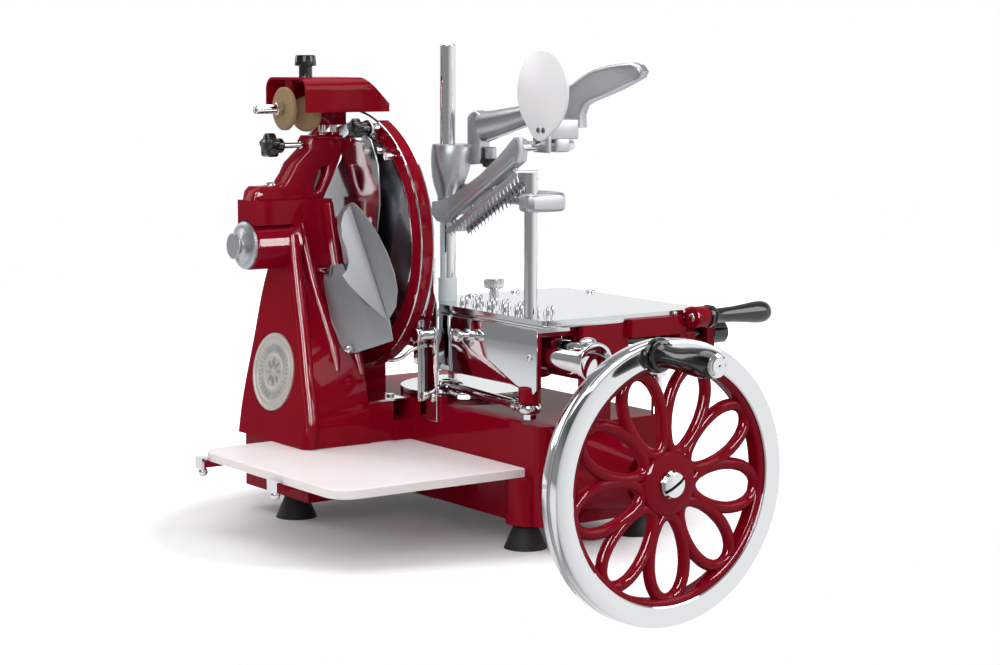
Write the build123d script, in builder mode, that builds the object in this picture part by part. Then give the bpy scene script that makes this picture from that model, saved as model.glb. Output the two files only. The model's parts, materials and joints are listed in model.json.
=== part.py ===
from build123d import *
import os
from math import atan2, cos, degrees, radians, sin

# Hand crank meat slicer. Millimetres, +Z up. The design plane z = 0 is the counter that
# the four feet stand on. The operator stands at -Y, where the flywheel hangs over the
# edge of the counter. The blade turns about X, and the carriage slides along Y.
# The exported parts are moved so that the sole of the front left foot is the origin.

# ---- driving dimensions -------------------------------------------------------
WHEEL_RADIUS = 165.0
WHEEL_WIDTH = 28.0
WHEEL_FACE_Y = -363.0
WHEEL_X = 40.0
WHEEL_Z = 102.0
PETALS = 9
SHAFT_RADIUS = 10.0

BLADE_RADIUS = 150.0
BLADE_Y = 184.0
BLADE_Z = 346.0
RING_RADIUS = 166.0
RING_LEFT = -47.0
RING_RIGHT = -28.0

BASE_BOTTOM = 30.0
BEAM_TOP = 150.0
BEAM_LEFT = -24.0
BEAM_RIGHT = 165.0
BEAM_FRONT = -200.0
BEAM_REAR = 262.0
COLUMN_X = -118.0
ORIGIN_FOOT = (-17.0, -160.0)

ROD_X = 15.0
ROD_Z = 229.0
ROD_RADIUS = 22.0
TABLE_TOP = 274.0
DECK_BOTTOM = 252.5
TABLE_LEFT = -16.0
TABLE_RIGHT = 232.0
TABLE_FRONT = -192.0
TABLE_REAR = 98.0

REAR_POST = (16.0, 54.0)
FRONT_POST = (-4.0, -150.0)
POST_TOP = 594.0

CRANK_CENTRE = (80.0, 96.0)
CRANK_THROW = 77.7
CRANK_ANGLE = 213.6
LAYSHAFT_Y = 159.4
PINION_RADIUS = 25.0
CRANK_GEAR_RADIUS = 50.0
LINK_Z = 167.0
LINK_PIN = (-12.0, -160.0)

DEFLECTOR_STUD = (-117.2, 313.1)

BOARD_LEFT = -282.0
BOARD_TOP = 98.0
BOARD_THICKNESS = 11.0
COLUMN_FOOT = BOARD_TOP + 0.5

RUNNING_FIT = 0.05
CLEARANCE = 0.4

os.makedirs("parts", exist_ok=True)


# ---- small helpers, all used inside a part block --------------------------------
def rod_x(radius, x0, x1, y, z, mode=Mode.ADD):
    with Locations(((x0 + x1) / 2, y, z)):
        Cylinder(radius, abs(x1 - x0), rotation=(0, 90, 0), mode=mode)


def rod_y(radius, y0, y1, x, z, mode=Mode.ADD):
    with Locations((x, (y0 + y1) / 2, z)):
        Cylinder(radius, abs(y1 - y0), rotation=(90, 0, 0), mode=mode)


def rod_z(radius, z0, z1, x, y, mode=Mode.ADD):
    with Locations((x, y, (z0 + z1) / 2)):
        Cylinder(radius, abs(z1 - z0), mode=mode)


def block(x0, x1, y0, y1, z0, z1, mode=Mode.ADD):
    with Locations(((x0 + x1) / 2, (y0 + y1) / 2, (z0 + z1) / 2)):
        Box(x1 - x0, y1 - y0, z1 - z0, mode=mode)


def bevel_gear(pitch, mate, teeth, face, hub_radius, hub_length, bore):
    """A bevel gear whose cone points at the origin of the plane and opens along Z."""
    front = mate - face
    front_radius = pitch * front / mate
    with Locations((0, 0, (front + mate) / 2)):
        Cone(front_radius - CLEARANCE, pitch - CLEARANCE, face)
    with Locations((0, 0, mate + hub_length / 2)):
        Cylinder(hub_radius, hub_length)
    cone_angle = degrees(atan2(pitch, mate))
    middle = (front + mate) / 2
    width = 3.14159 * pitch / teeth * 0.55
    with PolarLocations((front_radius + pitch) / 2, teeth):
        with Locations(Location((0, 0, middle), (0, cone_angle, 0))):
            Box(3.0, width, face * 2.2, mode=Mode.SUBTRACT)
    with Locations((0, 0, mate)):
        Cylinder(bore, 4 * mate, mode=Mode.SUBTRACT)


def cone_x(radius0, radius1, x0, x1, y, z, mode=Mode.ADD):
    """A cone from x0 to x1, whichever way that runs."""
    tilt = 90 if x1 > x0 else -90
    with Locations((x0, y, z)):
        Cone(radius0, radius1, abs(x1 - x0), rotation=(0, tilt, 0), mode=mode,
             align=(Align.CENTER, Align.CENTER, Align.MIN))


def cone_to_front(radius0, radius1, y0, y1, x, z, mode=Mode.ADD):
    """A cone that runs from y0 towards the operator to y1."""
    with Locations((x, y0, z)):
        Cone(radius0, radius1, y0 - y1, rotation=(90, 0, 0), mode=mode,
             align=(Align.CENTER, Align.CENTER, Align.MIN))


def bush_x(inner, outer, x0, x1, y, z):
    rod_x(outer, x0, x1, y, z)
    rod_x(inner, x0 - 1, x1 + 1, y, z, Mode.SUBTRACT)


def bush_y(inner, outer, y0, y1, x, z):
    rod_y(outer, y0, y1, x, z)
    rod_y(inner, y0 - 1, y1 + 1, x, z, Mode.SUBTRACT)


def bush_z(inner, outer, z0, z1, x, y):
    rod_z(outer, z0, z1, x, y)
    rod_z(inner, z0 - 1, z1 + 1, x, y, Mode.SUBTRACT)


def spur_gear(radius, teeth, z0, z1, x, y, bore):
    rod_z(radius - CLEARANCE, z0, z1, x, y)
    with Locations((x, y, (z0 + z1) / 2)):
        with PolarLocations(radius, teeth):
            Box(4.4, 3.14159 * radius / teeth, z1 - z0 + 1, mode=Mode.SUBTRACT)
    rod_z(bore, z0 - 1, z1 + 1, x, y, Mode.SUBTRACT)


def star_knob_x(radius, x0, x1, y, z):
    """A five-lobed hand knob whose axis lies along X."""
    rod_x(radius * 0.72, x0, x1, y, z)
    with Locations(Plane(((x0 + x1) / 2, y, z), x_dir=(0, 0, 1), z_dir=(1, 0, 0)).location):
        with PolarLocations(radius * 0.66, 5):
            Cylinder(radius * 0.34, abs(x1 - x0) * 0.7)


def write(builder, label):
    moved = builder.part.moved(Location((-ORIGIN_FOOT[0], -ORIGIN_FOOT[1], 0)))
    moved.label = label
    export_step(moved, "parts/" + label + ".step")


# ---- frame: base, column and barrel in one casting ------------------------------
COLUMN_FRONT_LINE = [(75, 124), (84, 165), (102, 212), (134, 272), (155, 330)]
COLUMN_REAR_LINE = [(212, 330), (224, 300), (237, 220), (248, 150), (250, 124)]

with BuildPart() as frame_casting:
    # the column is the common part of its side outline and its tapered front outline
    with BuildSketch(Plane.YZ.offset(-200)):
        with BuildLine():
            Line((75, COLUMN_FOOT), COLUMN_FRONT_LINE[0])
            Spline(*COLUMN_FRONT_LINE)
            Polyline(COLUMN_FRONT_LINE[-1], (158, 371), (208, 371), COLUMN_REAR_LINE[0])
            Spline(*COLUMN_REAR_LINE)
            Polyline(COLUMN_REAR_LINE[-1], (250, COLUMN_FOOT), (75, COLUMN_FOOT))
        make_face()
    extrude(amount=130)
    with BuildSketch(Plane.XZ.offset(-60)):
        with BuildLine():
            Polyline((-181, COLUMN_FOOT), (-144, 371), (-86, 371), (-86, COLUMN_FOOT), close=True)
        make_face()
    extrude(amount=-210, mode=Mode.INTERSECT)
    upright = frame_casting.edges().filter_by(lambda e: abs(e.tangent_at(0.5).Z) > 0.5)
    fillet(upright.filter_by(lambda e: e.center().X < -140), 10)
    # shelf beside the column, the wide beam and the lower block under the column
    block(-95, -50, 78, 250, COLUMN_FOOT, 148)
    block(-52, BEAM_LEFT + 2, 74, 250, COLUMN_FOOT, 124)
    block(-52, BEAM_LEFT + 2, 84, 240, BASE_BOTTOM, 110)
    block(-172, BEAM_LEFT + 2, 84, 240, BASE_BOTTOM, 110)
    block(BEAM_LEFT, -15, 8, 56, 140, 159.5)
    block(BEAM_LEFT, BEAM_RIGHT, BEAM_FRONT, BEAM_REAR, BASE_BOTTOM, BEAM_TOP)
    fillet(frame_casting.edges().filter_by(Axis.Z).filter_by(
        lambda e: e.center().X > 160 or (e.center().Y < -195 and e.center().X < 0)), 16)
    # conical nose that carries the flywheel shaft
    cone_to_front(58, 33, BEAM_FRONT + 2, BEAM_FRONT - 120, WHEEL_X, WHEEL_Z)
    # barrel of the blade shaft and the nose towards the blade
    rod_x(28, -184, -140, BLADE_Y, BLADE_Z)
    rod_x(30, -100, -66, BLADE_Y, BLADE_Z)
    # box on top of the column that carries the sharpener bracket
    block(-200, -90, 158, 204, 370, 400)
    rod_x(30, -201, -184, BLADE_Y, BLADE_Z, Mode.SUBTRACT)
    # front pillar and rear pillar of the guide rod
    block(ROD_X - 6, ROD_X + 27, -246, -226, 100, ROD_Z + 4)
    block(ROD_X - 6, 66, -246, -190, 60, 128)
    block(ROD_X - 27, ROD_X + 27, 240, BEAM_REAR, BEAM_TOP - 4, ROD_Z + 7)
    # round bosses above the feet
    rod_z(24, BASE_BOTTOM, 86, *ORIGIN_FOOT)
    # gear room under the beam, hollows in front of it, and hollows inside the column
    block(-12, 152, 44, 234, 20, 143, Mode.SUBTRACT)
    rod_z(24, BASE_BOTTOM, 86, 140, 170)
    block(-12, 152, -186, 30, 20, 138, Mode.SUBTRACT)
    cone_to_front(45, 24, -184, BEAM_FRONT - 70, WHEEL_X, WHEEL_Z, Mode.SUBTRACT)
    block(-166, -94, 92, 236, 20, 140, Mode.SUBTRACT)
    block(-67, -37, 92, 232, 20, 114, Mode.SUBTRACT)
    rod_z(24, BASE_BOTTOM, 86, 140, -170)
    rod_z(20, BASE_BOTTOM, 86, -150, 150)
    block(-160, -94, 112, 228, 160, 214, Mode.SUBTRACT)
    block(-146, -94, 154, 218, 210, 296, Mode.SUBTRACT)
    block(-143, -96, 163, 205, 318, 369, Mode.SUBTRACT)
    # bores: flywheel shaft, cross shaft, column shaft, blade shaft, guide rod
    rod_y(14, -330, 44, WHEEL_X, WHEEL_Z, Mode.SUBTRACT)
    rod_y(14, 233, 263, WHEEL_X, WHEEL_Z, Mode.SUBTRACT)
    rod_x(9, -95, -11, BLADE_Y, WHEEL_Z, Mode.SUBTRACT)
    rod_z(9, 139, 319, COLUMN_X, BLADE_Y, Mode.SUBTRACT)
    rod_x(15, -190, -142, BLADE_Y, BLADE_Z, Mode.SUBTRACT)
    rod_x(15, -97, -60, BLADE_Y, BLADE_Z, Mode.SUBTRACT)
    rod_z(12, 142, 151, WHEEL_X, LAYSHAFT_Y, Mode.SUBTRACT)
    rod_z(14, 142, 151, *CRANK_CENTRE, Mode.SUBTRACT)
    rod_y(ROD_RADIUS, -256, -218, ROD_X, ROD_Z, Mode.SUBTRACT)
    rod_y(ROD_RADIUS, 238, 264, ROD_X, ROD_Z, Mode.SUBTRACT)
    rod_y(6, 122, 166, *DEFLECTOR_STUD, Mode.SUBTRACT)
write(frame_casting, "frame_casting")

with BuildPart() as base_cover:
    block(-20, 160, 36, 242, BASE_BOTTOM - 3, BASE_BOTTOM)
    rod_z(26, 20, 40, 140, 170, Mode.SUBTRACT)
write(base_cover, "base_cover")

FEET = [ORIGIN_FOOT, (140, -170), (-150, 150), (140, 170)]
with BuildPart() as rubber_feet:
    for x, y in FEET:
        with Locations((x, y, 13)):
            Cone(26, 15, 26)
write(rubber_feet, "rubber_feet")

with BuildPart() as frame_fasteners:
    # foot studs, cover screws, and the slotted screws of the guard strip and the shelf
    for x, y in FEET:
        rod_z(8, 26, BASE_BOTTOM, x, y)
    for x, y in [(-16, 40), (156, 40), (-16, 238), (156, 238)]:
        rod_z(4, BASE_BOTTOM - 6, BASE_BOTTOM - 3, x, y)
    for y in (22, 42):
        rod_x(5, -31, -28, y, 158)
    rod_x(3.5, -24, -21.5, 31, 322)
    rod_x(7, -38, -28, 34, 236)
    rod_x(3, -56, RING_LEFT, 76, 456)
    rod_x(5, -62, -56, 76, 456)
    rod_z(5, 150.5, 153, -38, 104)
    rod_z(7, 417, 421, -163, BLADE_Y)
    rod_y(6, 117, 166, *DEFLECTOR_STUD)
write(frame_fasteners, "frame_fasteners")

# ---- flywheel -------------------------------------------------------------------
PETAL_MIDDLE = 86.0
PETAL_LONG = 49.0
PETAL_SHORT = 24.0
PETAL_TUBE = 8.5
FIRST_PETAL = 112.0
WHEEL_MIDDLE_Y = WHEEL_FACE_Y + WHEEL_WIDTH / 2
GRIP_ANGLE = radians(10)
GRIP_X = WHEEL_X - 152 * sin(GRIP_ANGLE)
GRIP_Z = WHEEL_Z + 152 * cos(GRIP_ANGLE)
wheel_plane = Plane((WHEEL_X, WHEEL_FACE_Y, WHEEL_Z), x_dir=(1, 0, 0), z_dir=(0, -1, 0))

with BuildPart() as flywheel_rim:
    with BuildSketch(Plane.YZ.offset(WHEEL_X)):
        with BuildLine():
            y0, y1 = WHEEL_FACE_Y, WHEEL_FACE_Y + WHEEL_WIDTH
            top = WHEEL_Z + WHEEL_RADIUS
            Polyline((y0, top - 25), (y0, top - 1.5), (y0 + 1.5, top), (y0 + 11, top),
                     (y0 + 12.5, top - 4), (y0 + 15.5, top - 4), (y0 + 17, top), (y1 - 2, top),
                     (y1, top - 2), (y1, top - 25), (y0, top - 25))
        make_face()
    revolve(axis=Axis((WHEEL_X, 0, WHEEL_Z), (0, 1, 0)))
    # hole for the grip spindle
    rod_y(6, y0 - 5, y1 + 5, GRIP_X, GRIP_Z, Mode.SUBTRACT)
write(flywheel_rim, "flywheel_rim")

with BuildPart() as flywheel_spider:
    with BuildSketch(wheel_plane.offset(-5)):
        Circle(WHEEL_RADIUS - 25)
        Circle(WHEEL_RADIUS - 32, mode=Mode.SUBTRACT)
        with PolarLocations(PETAL_MIDDLE, PETALS, start_angle=FIRST_PETAL):
            Ellipse(PETAL_LONG + PETAL_TUBE, PETAL_SHORT + PETAL_TUBE)
        with PolarLocations(PETAL_MIDDLE, PETALS, start_angle=FIRST_PETAL):
            Ellipse(PETAL_LONG - PETAL_TUBE, PETAL_SHORT - PETAL_TUBE, mode=Mode.SUBTRACT)
        Circle(34)
        Circle(WHEEL_RADIUS - 25, mode=Mode.INTERSECT)
    extrude(amount=-2 * PETAL_TUBE)
    rod_y(36, WHEEL_FACE_Y + 1, WHEEL_FACE_Y + 26, WHEEL_X, WHEEL_Z)
    rod_y(26, WHEEL_FACE_Y + 20, WHEEL_FACE_Y + 38, WHEEL_X, WHEEL_Z)
    rod_y(SHAFT_RADIUS, WHEEL_FACE_Y - 5, WHEEL_FACE_Y + 45, WHEEL_X, WHEEL_Z, Mode.SUBTRACT)
write(flywheel_spider, "flywheel_spider")

with BuildPart() as flywheel_shaft:
    rod_y(SHAFT_RADIUS, WHEEL_FACE_Y, 262, WHEEL_X, WHEEL_Z)
    rod_y(SHAFT_RADIUS + 3, 258, 262, WHEEL_X, WHEEL_Z)
write(flywheel_shaft, "flywheel_shaft")

with BuildPart() as hub_screw:
    rod_y(16.5, WHEEL_FACE_Y - 4, WHEEL_FACE_Y, WHEEL_X, WHEEL_Z)
    cone_to_front(16.5, 9, WHEEL_FACE_Y - 4, WHEEL_FACE_Y - 8, WHEEL_X, WHEEL_Z)
    block(WHEEL_X - 11, WHEEL_X + 11, WHEEL_FACE_Y - 12, WHEEL_FACE_Y - 6.5,
          WHEEL_Z - 1.2, WHEEL_Z + 1.2, Mode.SUBTRACT)
write(hub_screw, "hub_screw")

with BuildPart() as grip_spindle:
    rod_y(6, -466, WHEEL_FACE_Y + WHEEL_WIDTH, GRIP_X, GRIP_Z)
    cone_to_front(13.5, 9, -466, -470, GRIP_X, GRIP_Z)
    block(GRIP_X - 9, GRIP_X + 9, -475, -468.4, GRIP_Z - 1, GRIP_Z + 1, Mode.SUBTRACT)
write(grip_spindle, "grip_spindle")

GRIP_START = WHEEL_FACE_Y - 0.4
GRIP_LENGTH = 102.0
with BuildPart() as wheel_grip:
    with BuildSketch(Plane((GRIP_X, GRIP_START, GRIP_Z), x_dir=(1, 0, 0), z_dir=(0, 0, 1))):
        with BuildLine():
            Polyline((14, -GRIP_LENGTH), (6.05, -GRIP_LENGTH), (6.05, 0), (20, 0), (20, -8), (14, -11))
            Spline((14, -11), (12.5, -30), (16.3, -66), (16.8, -84), (14, -GRIP_LENGTH))
        make_face()
    revolve(axis=Axis((GRIP_X, 0, GRIP_Z), (0, 1, 0)))
write(wheel_grip, "wheel_grip")

with BuildPart() as bearing_bushes:
    bush_y(SHAFT_RADIUS + RUNNING_FIT, 14, -320, -290, WHEEL_X, WHEEL_Z)
    bush_y(SHAFT_RADIUS + RUNNING_FIT, 14, 236, 257, WHEEL_X, WHEEL_Z)
    bush_z(8 + RUNNING_FIT, 12, 143, 150, WHEEL_X, LAYSHAFT_Y)
    bush_z(10 + RUNNING_FIT, 14, 143, 150, *CRANK_CENTRE)
    bush_z(7 + RUNNING_FIT, 9, 142, 158, COLUMN_X, BLADE_Y)
    bush_z(7 + RUNNING_FIT, 9, 298, 316, COLUMN_X, BLADE_Y)
    bush_x(7 + RUNNING_FIT, 9, -92, -72, BLADE_Y, WHEEL_Z)
    bush_x(7 + RUNNING_FIT, 9, -32, -12, BLADE_Y, WHEEL_Z)
    bush_x(9 + RUNNING_FIT, 15, -184, -148, BLADE_Y, BLADE_Z)
    bush_x(9 + RUNNING_FIT, 15, -94, -68, BLADE_Y, BLADE_Z)
write(bearing_bushes, "bearing_bushes")

# ---- gear train from the flywheel to the crank disc and to the blade ------------
def on_axis(x, y, z, direction):
    return Locations(Plane((x, y, z), z_dir=direction).location)


with BuildPart() as flywheel_gears:
    with on_axis(WHEEL_X, LAYSHAFT_Y, WHEEL_Z, (0, -1, 0)):
        bevel_gear(26, 26, 20, 9, 16, 12, SHAFT_RADIUS)
    with on_axis(WHEEL_X, BLADE_Y, WHEEL_Z, (0, 1, 0)):
        bevel_gear(36, 18, 28, 7, 16, 8, SHAFT_RADIUS)
write(flywheel_gears, "flywheel_gears")

with BuildPart() as layshaft:
    with on_axis(WHEEL_X, LAYSHAFT_Y, WHEEL_Z, (0, 0, 1)):
        bevel_gear(26, 26, 20, 9, 12, 4.5, 7)
    spur_gear(PINION_RADIUS, 18, 132.5, 141, WHEEL_X, LAYSHAFT_Y, 7)
    rod_z(8, 119, 149.5, WHEEL_X, LAYSHAFT_Y)
write(layshaft, "layshaft")

PIN_X = CRANK_CENTRE[0] + CRANK_THROW * cos(radians(CRANK_ANGLE))
PIN_Y = CRANK_CENTRE[1] + CRANK_THROW * sin(radians(CRANK_ANGLE))
with BuildPart() as crank_disc:
    rod_z(CRANK_THROW + 13, 151, 157, *CRANK_CENTRE)
    fillet(crank_disc.edges().group_by(Axis.Z)[-1], 1.5)
    spur_gear(CRANK_GEAR_RADIUS, 36, 132.5, 141, *CRANK_CENTRE, 9)
    rod_z(10, 130, 157, *CRANK_CENTRE)
    rod_z(7, 155, 160, PIN_X, PIN_Y)
write(crank_disc, "crank_disc")

with BuildPart() as cross_shaft:
    with on_axis(WHEEL_X, BLADE_Y, WHEEL_Z, (-1, 0, 0)):
        bevel_gear(18, 36, 14, 9, 11, 8, 6)
    with on_axis(COLUMN_X, BLADE_Y, WHEEL_Z, (1, 0, 0)):
        bevel_gear(15, 15, 14, 5, 10, 5, 6)
    rod_x(7, -107, 12, BLADE_Y, WHEEL_Z)
write(cross_shaft, "cross_shaft")

with BuildPart() as column_shaft:
    with on_axis(COLUMN_X, BLADE_Y, WHEEL_Z, (0, 0, 1)):
        bevel_gear(15, 15, 14, 5, 10, 5, 6)
    with on_axis(COLUMN_X, BLADE_Y, BLADE_Z, (0, 0, -1)):
        bevel_gear(20, 14, 20, 4, 12, 8, 6)
    rod_z(7, 112, 334, COLUMN_X, BLADE_Y)
write(column_shaft, "column_shaft")

# ---- blade, its shaft and its guard ---------------------------------------------
with BuildPart() as blade_shaft:
    with on_axis(COLUMN_X, BLADE_Y, BLADE_Z, (-1, 0, 0)):
        bevel_gear(14, 20, 14, 5, 11.5, 3, 8)
    cone_x(22, 38, -65.5, -60, BLADE_Y, BLADE_Z)
    rod_x(38, -60, -53, BLADE_Y, BLADE_Z)
    rod_x(9, -186, -42, BLADE_Y, BLADE_Z)
    with BuildSketch(Plane((-50, BLADE_Y, BLADE_Z), z_dir=(1, 0, 0))):
        RegularPolygon(15, 6)
    extrude(amount=6)
write(blade_shaft, "blade_shaft")

BLADE_LEFT = [(-53, 9), (-53, 60), (-50.5, 100), (-44.5, 128), (-33.5, 150)]
BLADE_RIGHT = [(-32.8, 150), (-41.5, 127), (-47.5, 100), (-50, 60), (-50, 9)]
with BuildPart() as blade:
    with BuildSketch(Plane.XY.offset(BLADE_Z)):
        with BuildLine():
            Polyline([(x, BLADE_Y - r) for x, r in BLADE_LEFT + BLADE_RIGHT], close=True)
        make_face()
    revolve(axis=Axis((0, BLADE_Y, BLADE_Z), (1, 0, 0)))
write(blade, "blade")

RING_GAP = 64.0
with BuildPart() as blade_guard_ring:
    rod_x(RING_RADIUS, RING_LEFT, RING_RIGHT, BLADE_Y, BLADE_Z)
    rod_x(RING_RADIUS - 4, RING_LEFT + 3, RING_RIGHT + 1, BLADE_Y, BLADE_Z, Mode.SUBTRACT)
    rod_x(RING_RADIUS - 13, RING_LEFT - 1, RING_LEFT + 4, BLADE_Y, BLADE_Z, Mode.SUBTRACT)
    block(-60, -20, BLADE_Y - RING_GAP, BLADE_Y + RING_GAP, BLADE_Z + 120, BLADE_Z + 180, Mode.SUBTRACT)
write(blade_guard_ring, "blade_guard_ring")

with BuildPart() as guard_bracket:
    block(-28, BEAM_LEFT, 14, 50, 128, 285)
    block(-28, BEAM_LEFT, 20, 42, 280, 332)
write(guard_bracket, "guard_bracket")

GUARD_LINK = [(178, 452), (178, 472), (118, 500), (104, 493), (108, 478), (164, 452)]
with BuildPart() as guard_link:
    with BuildSketch(Plane.YZ.offset(-64)):
        with BuildLine():
            Polyline(GUARD_LINK, close=True)
        make_face()
    extrude(amount=3)
    rod_x(4, -70, -50, 114, 489, Mode.SUBTRACT)
write(guard_link, "guard_link")

with BuildPart() as guard_knob:
    star_knob_x(12.5, -88, -66, 114, 489)
    rod_x(3.9, -66.5, -47.4, 114, 489)
write(guard_knob, "guard_knob")

# ---- slice deflector: one satin steel sheet folded along a ridge -----------------
RIDGE_TOP = (-95, 101, 398)
RIDGE_DOWN = (0.0975, -0.3844, -0.918)
leaf_plane = Plane(RIDGE_TOP, x_dir=RIDGE_DOWN, z_dir=(0.8809, 0.4625, -0.1001))
wing_plane = Plane(RIDGE_TOP, x_dir=RIDGE_DOWN, z_dir=(-0.3130, -0.8887, 0.3390))
WING = [(0, 0), (17, 21), (44, 24), (73, 27), (85, 40), (93, 38), (138, 9), (149, 0)]
with BuildPart() as slice_deflector:
    with BuildSketch(leaf_plane):
        with BuildLine():
            Spline((0, 0), (-3, 15), (7, 30), (34, 39))
            Polyline((34, 39), (54, 40), (60, 50), (62, 68), (72, 73), (168, 77), (174, 62))
            Spline((174, 62), (182, 40), (184, 18), (178, -2))
            Line((178, -2), (0, 0))
        make_face()
    extrude(amount=2)
    with BuildSketch(wing_plane):
        with BuildLine():
            Polyline(WING, close=True)
        make_face()
    extrude(amount=-2)
    with Locations(leaf_plane.location):
        with Locations((171, 63, -7)):
            Sphere(5.5)
        with Locations((171, 63, -1.5)):
            Cylinder(2.5, 4)
    rod_y(6, 100, 150, *DEFLECTOR_STUD, Mode.SUBTRACT)
write(slice_deflector, "slice_deflector")

# ---- cap of the blade shaft and the sharpener on its bracket ----------------------
with BuildPart() as blade_shaft_cap:
    rod_x(29, -200, -184, BLADE_Y, BLADE_Z)
    cone_x(24, 14, -200, -213, BLADE_Y, BLADE_Z)
    rod_x(12.5, -228, -212, BLADE_Y, BLADE_Z)
    rod_x(10, -188, -180, BLADE_Y, BLADE_Z, Mode.SUBTRACT)
write(blade_shaft_cap, "blade_shaft_cap")

BRACKET_OUTER = [(-190, 400), (-190, 417), (-150, 417), (-133, 433), (-121, 451), (-114, 477),
                 (-64, 477), (-64, 448), (-98, 408), (-98, 400)]
BRACKET_WINDOW = [(-106, 414), (-98, 416), (-82, 437), (-84, 444), (-98, 432)]
SHARPENER_RODS = (-88.0, -72.0)
with BuildPart() as sharpener_bracket:
    with BuildSketch(Plane.XZ.offset(-200)):
        with BuildLine():
            Polyline(BRACKET_OUTER, close=True)
        make_face()
        with BuildLine():
            Polyline(BRACKET_WINDOW, close=True)
        make_face(mode=Mode.SUBTRACT)
    extrude(amount=32)
    for x in SHARPENER_RODS:
        rod_z(4.5, 452, 480, x, BLADE_Y, Mode.SUBTRACT)
write(sharpener_bracket, "sharpener_bracket")

with BuildPart() as sharpener_rods:
    for x in SHARPENER_RODS:
        rod_z(4.5, 452, 545, x, BLADE_Y)
write(sharpener_rods, "sharpener_rods")

with BuildPart() as lock_knob:
    star_knob_x(15, -172, -146, BLADE_Y, 467)
    rod_x(5, -147, -118.6, BLADE_Y, 467)
write(lock_knob, "lock_knob")

HOOD_FRONT = 134.0
HOOD_REAR = 234.0
HOOD_LEFT = -141.0
HOOD_RIGHT = -19.0
HOOD_BOTTOM = 509.0
HOOD_TOP = 552.0
HOOD_WALL = 3.0
HOOD_SLOPE = 33.0
STONE_B_CENTRE = (-113.0, 183.0, 506.0)
STONE_B_AXIS = (0.8829, 0.4695, 0)
# the hood and its cavity share one rounded form, cut by a slope at the right end
hood_forms = []
for wall, left in ((0, HOOD_LEFT), (HOOD_WALL, HOOD_LEFT - 5)):
    with BuildPart() as hood_form:
        hood_middle = (HOOD_REAR + HOOD_FRONT) / 2
        hood_height = 80 - wall
        with BuildSketch(Plane((left, hood_middle, HOOD_TOP - 40), x_dir=(0, 1, 0), z_dir=(1, 0, 0))):
            with Locations((0, 40 - wall - hood_height / 2)):
                RectangleRounded(HOOD_REAR - HOOD_FRONT - 2 * wall, hood_height, 16 - wall)
        extrude(amount=HOOD_RIGHT - wall - left)
        with BuildSketch(Plane.XZ.offset(-HOOD_REAR - 5)):
            with BuildLine():
                Polyline([(left, HOOD_BOTTOM - wall), (left, HOOD_TOP),
                          (HOOD_RIGHT - HOOD_SLOPE - wall, HOOD_TOP),
                          (HOOD_RIGHT - wall, HOOD_TOP - HOOD_SLOPE),
                          (HOOD_RIGHT - wall, HOOD_BOTTOM - wall)], close=True)
            make_face()
        extrude(amount=HOOD_REAR - HOOD_FRONT + 10, mode=Mode.INTERSECT)
    hood_forms.append(hood_form.part)

with BuildPart() as sharpener_hood:
    add(hood_forms[0])
    add(hood_forms[1], mode=Mode.SUBTRACT)
    # guide block on the two rods, and the web that carries the first stone
    block(-96, -60, 172, 200, 492, 550)
    block(-137, -133.5, 176, 192, 503, 550)
    for x in SHARPENER_RODS:
        rod_z(4.5 + RUNNING_FIT, 480, 549.5, x, BLADE_Y, Mode.SUBTRACT)
    rod_x(4 + RUNNING_FIT, -140, -130, BLADE_Y, 513, Mode.SUBTRACT)
    rod_z(9 + RUNNING_FIT, 540, 560, -112, BLADE_Y, Mode.SUBTRACT)
    with on_axis(*STONE_B_CENTRE, STONE_B_AXIS):
        with Locations((0, 0, 20)):
            Cylinder(4 + RUNNING_FIT, 26, mode=Mode.SUBTRACT)
    with Locations(Location((-36, BLADE_Y, 538), (0, 45, 0))):
        Cylinder(4, 20)
write(sharpener_hood, "sharpener_hood")

with BuildPart() as sharpener_stone_a:
    rod_x(27, -146.4, -140.4, BLADE_Y, 513)
    rod_x(6, -186, -146, BLADE_Y, 513)
    rod_x(4, -141, -131, BLADE_Y, 513)
write(sharpener_stone_a, "sharpener_stone_a")

with BuildPart() as sharpener_stone_b:
    with on_axis(*STONE_B_CENTRE, STONE_B_AXIS):
        Cylinder(22, 6)
        with Locations((0, 0, 12)):
            Cylinder(4, 24)
write(sharpener_stone_b, "sharpener_stone_b")

with BuildPart() as sharpener_plunger:
    rod_z(9, 545, 568, -112, BLADE_Y)
    rod_z(13, 566, 580, -112, BLADE_Y)
write(sharpener_plunger, "sharpener_plunger")

# ---- guide rod, rail and carriage -------------------------------------------------
with BuildPart() as guide_rod:
    rod_y(ROD_RADIUS, -248, BEAM_REAR, ROD_X, ROD_Z)
    rod_y(ROD_RADIUS + 2, -254, -246.2, ROD_X, ROD_Z)
write(guide_rod, "guide_rod")

RAIL_TOP = 206.0
with BuildPart() as support_rail:
    block(150, 164, BEAM_FRONT, 255, RAIL_TOP - 10, RAIL_TOP)
    for y in (-190, 250):
        rod_z(6.5, BEAM_TOP, RAIL_TOP - 5, 157, y)
write(support_rail, "support_rail")

ROLLER_RADIUS = 14.0
ROLLER_Z = RAIL_TOP + ROLLER_RADIUS + 0.1
with BuildPart() as rail_roller:
    rod_x(ROLLER_RADIUS, 152, 163, -50, ROLLER_Z)
    rod_x(4 + RUNNING_FIT, 150, 166, -50, ROLLER_Z, Mode.SUBTRACT)
write(rail_roller, "rail_roller")

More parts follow.
